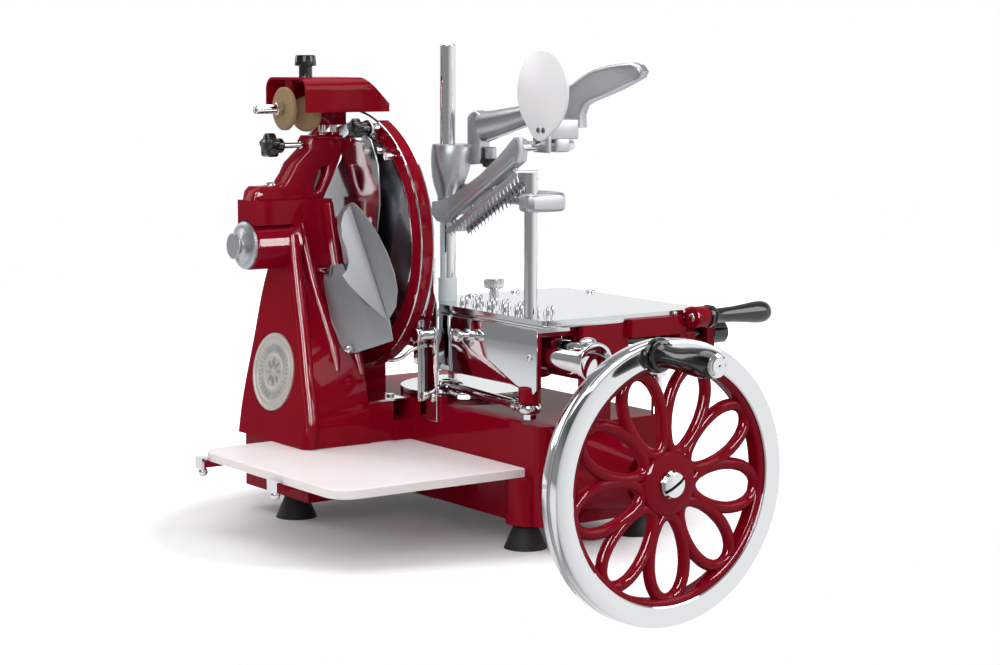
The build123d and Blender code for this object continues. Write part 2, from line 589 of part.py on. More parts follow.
SCREW_Y = -160.0
SCREW_Z = 238.0
with BuildPart() as carriage_frame:
    # deck, web beside the blade, sleeve on the guide rod
    block(TABLE_LEFT, TABLE_RIGHT, -176, 86, DECK_BOTTOM, 258)
    block(TABLE_LEFT, -10, -180, 60, 192, 258)
    block(TABLE_LEFT, -10, -172, -148, 186, 193)
    rod_y(28.5, -150, 60, ROD_X, ROD_Z)
    block(-12, 42, -150, 60, ROD_Z, DECK_BOTTOM + 1)
    rod_y(ROD_RADIUS + 3, -151, 61, ROD_X, ROD_Z, Mode.SUBTRACT)
    for y0 in (-150, 40):
        rod_y(26, y0, y0 + 20, ROD_X, ROD_Z)
    rod_y(ROD_RADIUS + RUNNING_FIT, -152, 62, ROD_X, ROD_Z, Mode.SUBTRACT)
    # boss of the connecting rod bolt
    rod_z(13.5, 174, 191.5, *LINK_PIN)
    block(TABLE_LEFT, -10, -172, -148, 188, 193)
    # right ear with the bearing of the feed screw, and the left bearing
    block(228, 262, -170, -100, DECK_BOTTOM, 258)
    block(250, 262, -174, -100, 215, 258)
    block(44, 54, -172, -148, 226, DECK_BOTTOM + 1)
    rod_x(6 + RUNNING_FIT, 40, 263, SCREW_Y, SCREW_Z, Mode.SUBTRACT)
    # bracket and axle of the roller that runs on the rail
    block(145, 150, -62, -38, 210, DECK_BOTTOM + 1)
    rod_x(4, 146, 166, -50, ROLLER_Z)
    rod_z(6, 150, 200, *LINK_PIN, Mode.SUBTRACT)
write(carriage_frame, "carriage_frame")

with BuildPart() as carriage_plate:
    block(TABLE_LEFT, TABLE_RIGHT, -178, 92, 258, 264)
write(carriage_plate, "carriage_plate")

with BuildPart() as side_shield:
    block(-18.2, TABLE_LEFT, -180, 80, 192, 262)
write(side_shield, "side_shield")

with BuildPart() as shield_screws:
    rod_x(7.5, -22.5, -18.2, -42, 243)
    rod_x(4, -20, -18.2, -168, 228)
write(shield_screws, "shield_screws")

with BuildPart() as link_bolt:
    rod_z(5.95, 154, 188, *LINK_PIN)
    with BuildSketch(Plane.XY.offset(154)):
        with Locations(LINK_PIN):
            RegularPolygon(8.5, 6)
    extrude(amount=6)
write(link_bolt, "link_bolt")

LINK_LENGTH = 214.7
with BuildPart() as connecting_rod:
    rod_z(12, 161, 173, *LINK_PIN)
    rod_z(15, 161, 173, PIN_X, PIN_Y)
    reach = Vector(PIN_X - LINK_PIN[0], PIN_Y - LINK_PIN[1], 0).normalized()
    with on_axis(LINK_PIN[0], LINK_PIN[1], LINK_Z, (reach.X, reach.Y, 0)):
        with Locations((0, 0, LINK_LENGTH / 2)):
            Cylinder(5.5, LINK_LENGTH)
        for distance in (20, LINK_LENGTH - 23):
            with Locations((0, 0, distance)):
                Cylinder(6.6, 18)
    rod_z(5.95 + RUNNING_FIT, 150, 180, *LINK_PIN, Mode.SUBTRACT)
    rod_z(8, 150, 180, PIN_X, PIN_Y, Mode.SUBTRACT)
write(connecting_rod, "connecting_rod")

with BuildPart() as feed_screw:
    rod_x(6, 41, 264, SCREW_Y, SCREW_Z)
    rod_x(14, 263, 285, SCREW_Y, SCREW_Z)
    rod_x(10, 262.4, 264, SCREW_Y, SCREW_Z)
write(feed_screw, "feed_screw")

# ---- meat table on top of the carriage ----------------------------------------------
with BuildPart() as meat_table:
    block(TABLE_LEFT, TABLE_RIGHT, TABLE_FRONT, TABLE_REAR, 268, TABLE_TOP)
    fillet(meat_table.edges().filter_by(Axis.Z), 8)
    # toothed holding strips
    for row in range(4):
        for column in range(6):
            with Locations((6 + row * 9, -140 + column * 30, TABLE_TOP + 3)):
                Cone(2.2, 0.4, 8)
    for x, y in [(68, 75), (142, 83), (224, 29)]:
        rod_z(5, 272, TABLE_TOP + 1, x, y)
write(meat_table, "meat_table")

with BuildPart() as glide_strips:
    for y in (-170, 74):
        block(TABLE_LEFT + 4, TABLE_RIGHT - 4, y, y + 14, 264.3, 268)
write(glide_strips, "glide_strips")

with BuildPart() as table_posts:
    rod_z(10, TABLE_TOP, POST_TOP, *REAR_POST)
    rod_z(8, TABLE_TOP, 445, *FRONT_POST)
    fillet(table_posts.edges().group_by(Axis.Z)[-1], 2)
write(table_posts, "table_posts")

with BuildPart() as post_sleeve:
    bush_z(10, 12, TABLE_TOP, 303, *REAR_POST)
write(post_sleeve, "post_sleeve")

with BuildPart() as thumb_screw:
    rod_z(11.5, 280, 305, 46, -5)
    rod_z(6, TABLE_TOP + 0.5, 281, 46, -5)
write(thumb_screw, "thumb_screw")

with BuildPart() as feed_nut:
    block(43, 115, -191, -181, 249, 268)
    block(60, 112, -191, -150, 226, 249)
    rod_x(6.4, 59, 113, SCREW_Y, SCREW_Z, Mode.SUBTRACT)
    block(110, 190, -200, -190.5, 246, 268)
    block(184, 194, -200, -176, 236, 256)
    rod_x(5 + RUNNING_FIT, 183, 195, -186, 243, Mode.SUBTRACT)
write(feed_nut, "feed_nut")

with BuildPart() as feed_lever:
    rod_x(5, 184, 206, -186, 243)
    rod_x(11, 196, 212, -186, 243)
    with BuildSketch(Plane.YZ.offset(200)):
        with BuildLine():
            Polyline((-178, 236), (-178, 250), (-201, 276), (-217, 274), (-218, 258), (-196, 238),
                     close=True)
        make_face()
    extrude(amount=12)
    rod_x(13, 196.4, 218, -208, 266)
    rod_x(6, 218, 322, -208, 266)
write(feed_lever, "feed_lever")

with BuildPart() as feed_grip:
    rod_x(12, 218.5, 318, -208, 266)
    rod_x(6 + RUNNING_FIT, 217, 320, -208, 266, Mode.SUBTRACT)
    fillet(feed_grip.edges().filter_by(GeomType.CIRCLE).group_by(SortBy.RADIUS)[-1], 3)
write(feed_grip, "feed_grip")

# ---- meat clamp on the posts --------------------------------------------------------
PRESS_PIN = (28.0, 392.0)
with BuildPart() as clamp_hub:
    rod_z(24, 407, 470, *REAR_POST)
    rod_z(12, 384, 408, *REAR_POST)
    block(4, 18, 20, 50, 384, 404)
    block(28, 50, 24, 46, 398, 420)
    rod_z(10 + RUNNING_FIT, 380, 480, *REAR_POST, Mode.SUBTRACT)
    rod_x(4 + RUNNING_FIT, 27, 60, 62, 452, Mode.SUBTRACT)
    rod_x(3, 3, 19, *PRESS_PIN, Mode.SUBTRACT)
write(clamp_hub, "clamp_hub")

with BuildPart() as clamp_guide:
    block(-16, 50, -165, -135, 398, 420)
    for x, z in ((36, 405), (44, 413)):
        rod_y(4, -136, 24, x, z)
    rod_z(8.3, 390, 430, *FRONT_POST, Mode.SUBTRACT)
write(clamp_guide, "clamp_guide")

with BuildPart() as clamp_knob:
    rod_x(4, 27.5, 43, 62, 452)
    rod_x(9, 41, 72, 62, 452)
    rod_x(11, 41, 52, 62, 452)
write(clamp_knob, "clamp_knob")

PRESS_TOP_LINE = [(62, 398), (34, 400), (0, 415), (-45, 437), (-84, 461), (-118, 485), (-124, 484)]
PRESS_TEETH = 20
PRESS_SHAFT = (-116.0, 474.0)
with BuildPart() as press_bar:
    teeth_line = []
    for step in range(PRESS_TEETH + 1):
        t = step / PRESS_TEETH
        y, z = -122 + 150 * t, 452 - 82 * t
        teeth_line += [(y, z), (y + 2.0, z - 8.0)]
    for x in (-5.4, 0.6):
        with BuildSketch(Plane.YZ.offset(x)):
            with BuildLine():
                Polyline(PRESS_TOP_LINE + teeth_line + [(51, 374), (62, 384)], close=True)
            make_face()
        extrude(amount=3)
    rod_x(2.95, -5, 16, *PRESS_PIN)
    rod_x(5, -3, 2, -20, 412)
    rod_x(6, -5, 82, *PRESS_SHAFT)
write(press_bar, "press_bar")

LEVER_ROOT = (50.0, 30.0)
lever_plane = Plane((LEVER_ROOT[0], LEVER_ROOT[1], 0), x_dir=(0.357, -0.934, 0), z_dir=(-0.934, -0.357, 0))
LEVER_OUTLINE = [(-8, 446), (-8, 504), (0, 514), (28, 514), (65, 521), (102, 532), (137, 547), (166, 564),
                 (208, 572), (235, 572), (247, 563), (242, 555), (208, 542), (181, 532), (160, 524),
                 (136, 512), (111, 500), (71, 494), (44, 485), (32, 474), (28, 454), (22, 446)]
with BuildPart() as clamp_lever:
    with BuildSketch(lever_plane.offset(-9)):
        with BuildLine():
            Polyline(LEVER_OUTLINE, close=True)
        make_face()
    extrude(amount=18)
    # neck and block that reach down to the cross shaft of the press
    block(86, 104, -122, -96, 500, 524)
    block(50, 104, -126, -98, 480, 506)
    block(54, 78, -126, -104, 465, 482)
    # small bracket of the oval guard on the same shaft
    block(29, 37, -136, -106, 466, 500)
    rod_x(6, 23, 104, *PRESS_SHAFT, Mode.SUBTRACT)
write(clamp_lever, "clamp_lever")

with BuildPart() as oval_guard:
    with BuildSketch(Plane.YZ.offset(25)):
        with Locations((-130, 538)):
            Circle(50)
        with Locations((-126, 502)):
            Circle(22)
        make_hull()
    extrude(amount=4)
    for y in (-124, -134):
        rod_x(3, 23.5, 25, y, 493)
write(oval_guard, "oval_guard")

# ---- carving board on its bars, polished shelf plate and badge ------------------------
BOARD_OUTLINE = [(BOARD_LEFT, -168), (BEAM_LEFT - 0.5, -168), (BEAM_LEFT - 0.5, 82.5),
                 (-173.5, 82.5), (-173.5, 160), (BOARD_LEFT, 160)]
with BuildPart() as board:
    with BuildSketch(Plane.XY.offset(BOARD_TOP - BOARD_THICKNESS)):
        with BuildLine():
            Polyline(BOARD_OUTLINE, close=True)
        make_face()
        fillet(vertices().group_by(Axis.X)[0], 28)
    extrude(amount=BOARD_THICKNESS)
    fillet(board.edges().group_by(Axis.Z)[-1], 2)
write(board, "board")

BAR_Z = BOARD_TOP - BOARD_THICKNESS
with BuildPart() as board_bars:
    block(-290, -172, 134, 148, BAR_Z - 8, BAR_Z)
    block(-290, BEAM_LEFT, -43, -29, BAR_Z - 8, BAR_Z)
write(board_bars, "board_bars")

with BuildPart() as board_clips:
    for y in (141, -36):
        block(-293, -290, y - 9, y + 9, BAR_Z - 10, BAR_Z + 5)
        block(-293, -282.2, y - 9, y + 9, BAR_Z + 2, BAR_Z + 5)
        with Locations((-287, y, BAR_Z - 14)):
            Sphere(6)
write(board_clips, "board_clips")

with BuildPart() as shelf_plate:
    block(-85, -28.5, 80, 248, 148, 150.5)
write(shelf_plate, "shelf_plate")

with BuildPart() as badge:
    with BuildSketch(Plane((-169.5, 170, 184), z_dir=(-0.9909, 0, 0.1345))):
        Circle(48.5)
    extrude(amount=2.2)
write(badge, "badge")
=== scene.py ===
import json
from math import cos, pi, radians, sin

import bpy
from mathutils import Matrix, Vector

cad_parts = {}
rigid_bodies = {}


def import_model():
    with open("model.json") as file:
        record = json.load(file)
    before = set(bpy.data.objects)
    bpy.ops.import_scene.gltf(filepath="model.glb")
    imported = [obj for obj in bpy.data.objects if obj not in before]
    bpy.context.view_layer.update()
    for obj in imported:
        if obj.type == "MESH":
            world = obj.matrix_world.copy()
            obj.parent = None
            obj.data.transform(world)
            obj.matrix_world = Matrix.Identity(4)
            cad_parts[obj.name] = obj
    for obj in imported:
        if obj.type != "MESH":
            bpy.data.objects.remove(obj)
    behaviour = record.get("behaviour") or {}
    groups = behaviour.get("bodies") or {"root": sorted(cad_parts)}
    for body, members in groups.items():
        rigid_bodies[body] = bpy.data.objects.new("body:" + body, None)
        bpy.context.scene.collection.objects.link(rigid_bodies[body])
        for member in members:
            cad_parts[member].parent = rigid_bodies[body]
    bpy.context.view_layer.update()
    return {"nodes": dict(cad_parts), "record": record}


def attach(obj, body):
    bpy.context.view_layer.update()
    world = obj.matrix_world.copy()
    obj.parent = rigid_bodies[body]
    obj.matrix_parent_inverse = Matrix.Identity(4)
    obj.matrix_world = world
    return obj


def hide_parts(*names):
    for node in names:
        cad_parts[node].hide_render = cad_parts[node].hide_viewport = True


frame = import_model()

# A hand crank meat slicer in crimson enamel and bright metal. Sizes are given in
# millimetres of the design, where z = 0 is the counter, and turned to metres by at().
SHIFT = Vector((17, 160, 0))
X_AXIS, Y_AXIS, Z_AXIS = (1, 0, 0), (0, 1, 0), (0, 0, 1)
TO_FRONT = (0, -1, 0)
TO_LEFT = (-1, 0, 0)
WHEEL = (40, -363, 102)
BLADE_Y, BLADE_Z = 184, 346
TABLE_TOP = 274
REAR_POST = (16, 54)


def at(x, y, z):
    """A design point in millimetres as a point of the frame in metres."""
    return (Vector((x, y, z)) + SHIFT) / 1000


def design(direction):
    """A direction of the design as a unit vector."""
    return Vector(direction).normalized()


# ---- camera at the photograph's angle -------------------------------------------
CAMERA_PLACE = (-1583, -2304, 594)
VIEW_RIGHT = Vector((0.81466, -0.57992, 0.00349))
VIEW_UP = Vector((0.07008, 0.10442, 0.99206))
VIEW_FORWARD = Vector((0.57568, 0.80795, -0.12571))

bpy.ops.object.select_all(action="DESELECT")
bpy.ops.object.camera_add()
camera = bpy.context.object
camera.name = "camera"
turn = Matrix((VIEW_RIGHT, VIEW_UP, -VIEW_FORWARD)).transposed().to_4x4()
camera.matrix_world = Matrix.Translation(at(*CAMERA_PLACE)) @ turn
camera.data.sensor_width = 36
camera.data.lens = 81.88
camera.data.clip_end = 30
bpy.context.scene.camera = camera


# ---- materials --------------------------------------------------------------------
def srgb(code):
    """A hex sRGB colour as a linear colour."""
    parts = [int(code[i:i + 2], 16) / 255 for i in (1, 3, 5)]
    return [c / 12.92 if c <= 0.04045 else ((c + 0.055) / 1.055) ** 2.4 for c in parts] + [1]


def add(tree, kind, values=None, links=None, **settings):
    """Adds a node with its settings, input values and links."""
    new = tree.nodes.new(kind)
    for name, value in settings.items():
        setattr(new, name, value)
    for socket, value in (values or {}).items():
        new.inputs[socket].default_value = value
    for socket, source in (links or {}).items():
        tree.links.new(source, new.inputs[socket])
    return new


def surface(name, colour, roughness, metallic=0.0, **values):
    """A material with a Principled shader and the object's own coordinates."""
    material = bpy.data.materials.new(name)
    material.use_nodes = True
    tree = material.node_tree
    shader = tree.nodes["Principled BSDF"]
    shader.inputs["Base Color"].default_value = srgb(colour)
    shader.inputs["Roughness"].default_value = roughness
    shader.inputs["Metallic"].default_value = metallic
    for socket, value in values.items():
        shader.inputs[socket.replace("_", " ")].default_value = value
    place = add(tree, "ShaderNodeTexCoord").outputs["Object"]
    return material, tree, shader, place


def stretched(tree, place, scale):
    """Coordinates scaled apart along X, Y and Z."""
    return add(tree, "ShaderNodeMapping", {"Scale": scale}, {"Vector": place}).outputs["Vector"]


def grain(tree, place, scale, detail=3.0, rough=0.6):
    """A noise from 0 to 1."""
    noise = add(tree, "ShaderNodeTexNoise", {"Scale": scale, "Detail": detail, "Roughness": rough},
                {"Vector": place})
    return noise.outputs["Fac"]


def between(tree, factor, low, high, start=0.0, end=1.0):
    """Maps a factor from start..end to low..high."""
    ramp = add(tree, "ShaderNodeMapRange", {"From Min": start, "From Max": end, "To Min": low,
                                            "To Max": high}, {"Value": factor})
    return ramp.outputs["Result"]


def tinted(tree, shader, factor, low, high):
    """Mixes two colours by a factor into the base colour."""
    mix = add(tree, "ShaderNodeMix", data_type="RGBA")
    tree.links.new(factor, mix.inputs["Factor"])
    mix.inputs[6].default_value = srgb(low)
    mix.inputs[7].default_value = srgb(high)
    tree.links.new(mix.outputs[2], shader.inputs["Base Color"])


def bumped(tree, shader, height, strength, distance):
    """Gives a shader a relief; distance is in metres."""
    bump = add(tree, "ShaderNodeBump", {"Strength": strength, "Distance": distance}, {"Height": height})
    tree.links.new(bump.outputs["Normal"], shader.inputs["Normal"])


def red_enamel():
    # stove enamel on cast iron: deep crimson under a clear wet gloss, with a faint
    # orange peel about 6 mm wide and a slightly uneven casting below it
    material, tree, shader, place = surface("crimson_stove_enamel", "#7E0820", 0.3, Coat_Weight=0.3,
                                            Coat_Roughness=0.03, Specular_IOR_Level=0.0, Coat_IOR=1.4)
    tinted(tree, shader, grain(tree, place, 9.0), "#7C0318", "#900720")
    bumped(tree, shader, grain(tree, place, 160.0, 2.0), 0.08, 0.0006)
    return material


def chrome():
    # polished nickel and chrome plate: mirror, with faint polishing haze
    material, tree, shader, place = surface("polished_chrome_plate", "#E3E4E6", 0.05, 1.0)
    haze = between(tree, grain(tree, place, 60.0, 4.0), 0.03, 0.09, 0.35, 0.75)
    tree.links.new(haze, shader.inputs["Roughness"])
    return material


def bright_steel():
    # ground and polished steel plate: nearly mirror, with fine grinding lines along Y
    material, tree, shader, place = surface("polished_steel_plate", "#D3D5D8", 0.1, 1.0)
    lines = grain(tree, stretched(tree, place, (900, 14, 900)), 1.0, 4.0)
    tree.links.new(between(tree, lines, 0.05, 0.17), shader.inputs["Roughness"])
    bumped(tree, shader, lines, 0.03, 0.0002)
    return material


def mirror_steel():
    # mirror polished stainless plate of the shield
    material, tree, shader, place = surface("mirror_polished_stainless", "#DCDEE1", 0.04, 1.0)
    bumped(tree, shader, grain(tree, place, 18.0, 2.0), 0.02, 0.0006)
    return material


def badge_silver():
    # matt silver of a stamped and bead blasted badge
    material, tree, shader, place = surface("blasted_nickel_silver", "#DCD6D0", 0.55, 1.0)
    bumped(tree, shader, grain(tree, place, 1500.0, 2.0), 0.15, 0.0002)
    return material


def blade_steel():
    # hollow ground blade steel, turned in rings about 1 mm wide round the blade's axis
    material, tree, shader, place = surface("turned_blade_steel", "#B9BCC1", 0.2, 1.0)
    centre = at(0, BLADE_Y, BLADE_Z)
    local = add(tree, "ShaderNodeMapping", {"Location": (0, -centre.y, -centre.z)}, {"Vector": place})
    rings = add(tree, "ShaderNodeTexWave", {"Scale": 160.0, "Distortion": 1.2, "Detail": 3.0,
                                            "Detail Scale": 6.0}, {"Vector": local.outputs["Vector"]},
                wave_type="RINGS", rings_direction="X")
    tree.links.new(between(tree, rings.outputs["Fac"], 0.14, 0.26), shader.inputs["Roughness"])
    bumped(tree, shader, rings.outputs["Fac"], 0.05, 0.0002)
    return material


def aluminium():
    # polished aluminium casting, slightly uneven, with soft satin reflections
    material, tree, shader, place = surface("polished_cast_aluminium", "#BEC0C4", 0.36, 1.0)
    wear = grain(tree, place, 45.0, 5.0)
    tree.links.new(between(tree, wear, 0.3, 0.44), shader.inputs["Roughness"])
    bumped(tree, shader, grain(tree, place, 220.0, 3.0), 0.02, 0.0002)
    return material


def satin_steel():
    # satin stainless sheet, brushed along its length in lines about 0.3 mm apart
    material, tree, shader, place = surface("brushed_stainless_sheet", "#B2B4B8", 0.3, 1.0)
    lines = grain(tree, stretched(tree, place, (1400, 1400, 30)), 1.0, 4.0)
    tree.links.new(between(tree, lines, 0.36, 0.5), shader.inputs["Roughness"])
    bumped(tree, shader, lines, 0.05, 0.0002)
    return material


def machine_steel():
    # plain turned steel under a film of oil
    material, tree, shader, place = surface("oiled_machine_steel", "#8B8D90", 0.35, 1.0)
    tree.links.new(between(tree, grain(tree, place, 120.0, 4.0), 0.26, 0.46), shader.inputs["Roughness"])
    return material


def bronze():
    # sintered bearing bronze, finely porous
    material, tree, shader, place = surface("sintered_bronze", "#A67C46", 0.42, 1.0)
    bumped(tree, shader, grain(tree, place, 900.0, 2.0), 0.2, 0.0003)
    return material


def black_plastic():
    # black phenolic moulding, polished
    material, tree, shader, place = surface("black_phenolic", "#0B0B0C", 0.14, Coat_Weight=0.5,
                                            Coat_Roughness=0.05)
    tree.links.new(between(tree, grain(tree, place, 80.0, 3.0), 0.1, 0.22), shader.inputs["Roughness"])
    return material


def white_board():
    # white polyethylene cutting board, faintly translucent, with shallow knife marks
    material, tree, shader, place = surface("polyethylene_board", "#F6EFEE", 0.42, Subsurface_Weight=0.15,
                                            Subsurface_Scale=0.01)
    marks = grain(tree, stretched(tree, place, (25, 500, 60)), 1.0, 4.0, 0.7)
    bumped(tree, shader, marks, 0.05, 0.0004)
    tinted(tree, shader, grain(tree, place, 14.0), "#EFE5E4", "#F6F0EE")
    return material


def white_plastic():
    # milky acrylic moulding
    material, tree, shader, place = surface("milky_acrylic", "#EBECED", 0.22, Subsurface_Weight=0.3,
                                            Subsurface_Scale=0.01)
    bumped(tree, shader, grain(tree, place, 70.0, 2.0), 0.03, 0.0005)
    return material


def rubber():
    # moulded black rubber, matt and slightly dusty
    material, tree, shader, place = surface("moulded_rubber", "#17171A", 0.62)
    tinted(tree, shader, grain(tree, place, 55.0, 4.0), "#111113", "#232326")
    bumped(tree, shader, grain(tree, place, 700.0, 2.0), 0.15, 0.0003)
    return material


def grinding_stone():
    # bonded corundum grinding stone in light brown, grit about 0.6 mm
    material, tree, shader, place = surface("bonded_corundum", "#B58F68", 0.85)
    grit = add(tree, "ShaderNodeTexVoronoi", {"Scale": 1300.0}, {"Vector": place}).outputs["Distance"]
    tinted(tree, shader, between(tree, grit, 0.0, 1.0, 0.1, 0.8), "#7C6248", "#A98D66")
    bumped(tree, shader, grit, 0.5, 0.0004)
    return material


FINISHES = {
    "red_enamel": red_enamel(), "chrome": chrome(), "bright_steel": bright_steel(),
    "blade_steel": blade_steel(), "aluminium": aluminium(), "satin_steel": satin_steel(),
    "machine_steel": machine_steel(), "bronze": bronze(), "black_plastic": black_plastic(),
    "white_board": white_board(), "white_plastic": white_plastic(), "rubber": rubber(),
    "stone": grinding_stone(), "mirror_steel": mirror_steel(), "badge_silver": badge_silver(),
}
# two finishes that the record keeps under its slot of polished steel
NODE_SLOT = {part["node"]: part["material_slot"] for part in frame["record"]["subparts"]}
for node_name, node_object in frame["nodes"].items():
    node_object.data.materials.clear()
    node_object.data.materials.append(FINISHES[NODE_SLOT[node_name]])


# ---- modelling helpers --------------------------------------------------------------
THIN = 0.005  # the radius that closes a pole of a turned piece


def clear_selection():
    if bpy.context.object and bpy.context.object.mode != "OBJECT":
        bpy.ops.object.mode_set(mode="OBJECT")
    bpy.ops.object.select_all(action="DESELECT")


def pick(piece):
    """Selects one piece alone and makes it active."""
    clear_selection()
    piece.select_set(True)
    bpy.context.view_layer.objects.active = piece


def dress(piece, name, finish, body, stands_for=(), bevel=0.0, smooth=38):
    """Settles a piece's place in its mesh, cleans it, and gives it a finish and a body."""
    pick(piece)
    bpy.ops.object.transform_apply(location=True, rotation=True, scale=True)
    bpy.ops.object.mode_set(mode="EDIT")
    bpy.ops.mesh.select_all(action="SELECT")
    bpy.ops.mesh.remove_doubles(threshold=0.00002)
    bpy.ops.mesh.normals_make_consistent(inside=False)
    bpy.ops.object.mode_set(mode="OBJECT")
    if bevel:
        rounding = piece.modifiers.new("rounding", "BEVEL")
        rounding.width = bevel / 1000
        rounding.segments = 3
        rounding.limit_method = "ANGLE"
        rounding.angle_limit = radians(35)
        bpy.ops.object.modifier_apply(modifier="rounding")
    bpy.ops.object.shade_smooth_by_angle(angle=radians(smooth))
    piece.name = name
    piece.data.name = name
    if not piece.data.materials:
        piece.data.materials.append(FINISHES[finish])
    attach(piece, body)
    if stands_for:
        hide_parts(*stands_for)
    return piece


def aim(piece, origin, axis, spin=0.0):
    """Puts a piece modelled round Z at a design point, with Z along the axis."""
    turn = design(axis).to_track_quat("Z", "Y").to_matrix().to_4x4()
    piece.matrix_world = Matrix.Translation(at(*origin)) @ turn @ Matrix.Rotation(spin, 4, "Z")


def lathe(profile, origin, axis, steps=72, sideways=None):
    """Turns a profile of (radius, height) in millimetres round an axis, bent by sideways(height)."""
    clear_selection()
    radius, height = profile[0]
    radius = max(radius, THIN)
    bend = sideways(height) if sideways else 0
    bpy.ops.mesh.primitive_circle_add(vertices=steps, radius=radius / 1000,
                                      location=(bend / 1000, 0, height / 1000))
    piece = bpy.context.object
    bpy.ops.object.mode_set(mode="EDIT")
    bpy.ops.mesh.select_all(action="SELECT")
    for next_radius, next_height in profile[1:]:
        next_radius = max(next_radius, THIN)
        next_bend = sideways(next_height) if sideways else 0
        step = ((next_bend - bend) / 1000, 0, (next_height - height) / 1000)
        bpy.ops.mesh.extrude_edges_move(TRANSFORM_OT_translate={"value": step})
        grow = next_radius / radius
        bpy.ops.transform.resize(value=(grow, grow, 1), center_override=(next_bend / 1000, 0, 0))
        radius, height, bend = next_radius, next_height, next_bend
    bpy.ops.object.mode_set(mode="OBJECT")
    bpy.ops.object.transform_apply(location=True, rotation=True, scale=True)
    aim(piece, origin, axis)
    return piece


def outline_curve(lines, smooth=False):
    """A flat filled curve through outlines in millimetres; the first is the rim, the rest are holes."""
    curve = bpy.data.curves.new("outline", "CURVE")
    curve.dimensions = "2D"
    curve.fill_mode = "BOTH"
    for line in lines:
        spline = curve.splines.new("BEZIER" if smooth else "POLY")
        points = spline.bezier_points if smooth else spline.points
        points.add(len(line) - 1)
        for point, (x, y) in zip(points, line):
            if smooth:
                point.co = (x / 1000, y / 1000, 0)
                point.handle_left_type = point.handle_right_type = "AUTO"
            else:
                point.co = (x / 1000, y / 1000, 0, 1)
        spline.use_cyclic_u = True
        spline.resolution_u = 8
    piece = bpy.data.objects.new("outline", curve)
    bpy.context.collection.objects.link(piece)
    return piece


def plate(lines, thickness, origin, along, normal, rounding=0.5, smooth=False):
    """A plate with rounded edges: outlines in millimetres, along is their x, normal the way it rises."""
    piece = outline_curve(lines, smooth)
    piece.data.extrude = (thickness / 2 - rounding) / 1000
    piece.data.bevel_depth = rounding / 1000
    piece.data.bevel_resolution = 2
    piece.data.offset = -rounding / 1000
    pick(piece)
    bpy.ops.object.convert(target="MESH")
    piece = bpy.context.object
    x_axis = design(along)
    z_axis = design(normal)
    z_axis = (z_axis - x_axis * z_axis.dot(x_axis)).normalized()
    y_axis = z_axis.cross(x_axis)
    turn = Matrix((x_axis, y_axis, z_axis)).transposed().to_4x4()
    rise = Matrix.Translation((0, 0, thickness / 2000))
    piece.matrix_world = Matrix.Translation(at(*origin)) @ turn @ rise
    return piece


def tube(points, radius, cyclic=False, smooth=True, taper=None):
    """A round bar through design points, with closed ends."""
    curve = bpy.data.curves.new("bar", "CURVE")
    curve.dimensions = "3D"
    spline = curve.splines.new("BEZIER")
    spline.bezier_points.add(len(points) - 1)
    for number, (point, place) in enumerate(zip(spline.bezier_points, points)):
        point.co = at(*place)
        kind = "AUTO" if smooth else "VECTOR"
        point.handle_left_type = point.handle_right_type = kind
        if taper:
            point.radius = taper[number]
    spline.use_cyclic_u = cyclic
    spline.resolution_u = 12
    curve.bevel_depth = radius / 1000
    curve.bevel_resolution = 6
    curve.use_fill_caps = True
    piece = bpy.data.objects.new("bar", curve)
    bpy.context.collection.objects.link(piece)
    pick(piece)
    bpy.ops.object.convert(target="MESH")
    return bpy.context.object


def box(x0, x1, y0, y1, z0, z1):
    """A block between design planes."""
    clear_selection()
    low, high = at(x0, y0, z0), at(x1, y1, z1)
    bpy.ops.mesh.primitive_cube_add(size=1, location=(low + high) / 2, scale=high - low)
    bpy.ops.object.transform_apply(location=True, rotation=True, scale=True)
    return bpy.context.object


def cut(piece, tool):
    """Cuts a tool's form out of a piece."""
    pick(piece)
    carving = piece.modifiers.new("carving", "BOOLEAN")
    carving.operation = "DIFFERENCE"
    carving.solver = "EXACT"
    carving.object = tool
    bpy.ops.object.modifier_apply(modifier="carving")
    bpy.data.objects.remove(tool, do_unlink=True)
    return piece


def softened(piece, width, segments):
    """Rounds all the edges of a block."""
    pick(piece)
    rounding = piece.modifiers.new("softened", "BEVEL")
    rounding.width = width / 1000
    rounding.segments = segments
    bpy.ops.object.modifier_apply(modifier="softened")
    return piece


def join(pieces):
    """Joins pieces to one mesh."""
    clear_selection()
    for piece in pieces:
        piece.select_set(True)
    bpy.context.view_layer.objects.active = pieces[0]
    bpy.ops.object.join()
    return bpy.context.object


def slotted_screw(origin, axis, radius, height, spin=0.6):
    """A domed screw head with a slot, seated on the origin and rising along the axis."""
    dome = lathe([(0, 0), (radius, 0), (radius, height * 0.35), (radius * 0.86, height * 0.72),
                  (radius * 0.5, height * 0.95), (0, height)], origin, axis, 32)
    slot_width, depth = radius * 0.22, height * 0.45
    clear_selection()
    bpy.ops.mesh.primitive_cube_add(size=1)
    slot = bpy.context.object
    slot.scale = (radius * 2.4 / 1000, slot_width / 1000, depth * 2 / 1000)
    bpy.ops.object.transform_apply(location=True, rotation=True, scale=True)
    aim(slot, tuple(Vector(origin) + design(axis) * height), axis, spin)
    return cut(dome, slot)


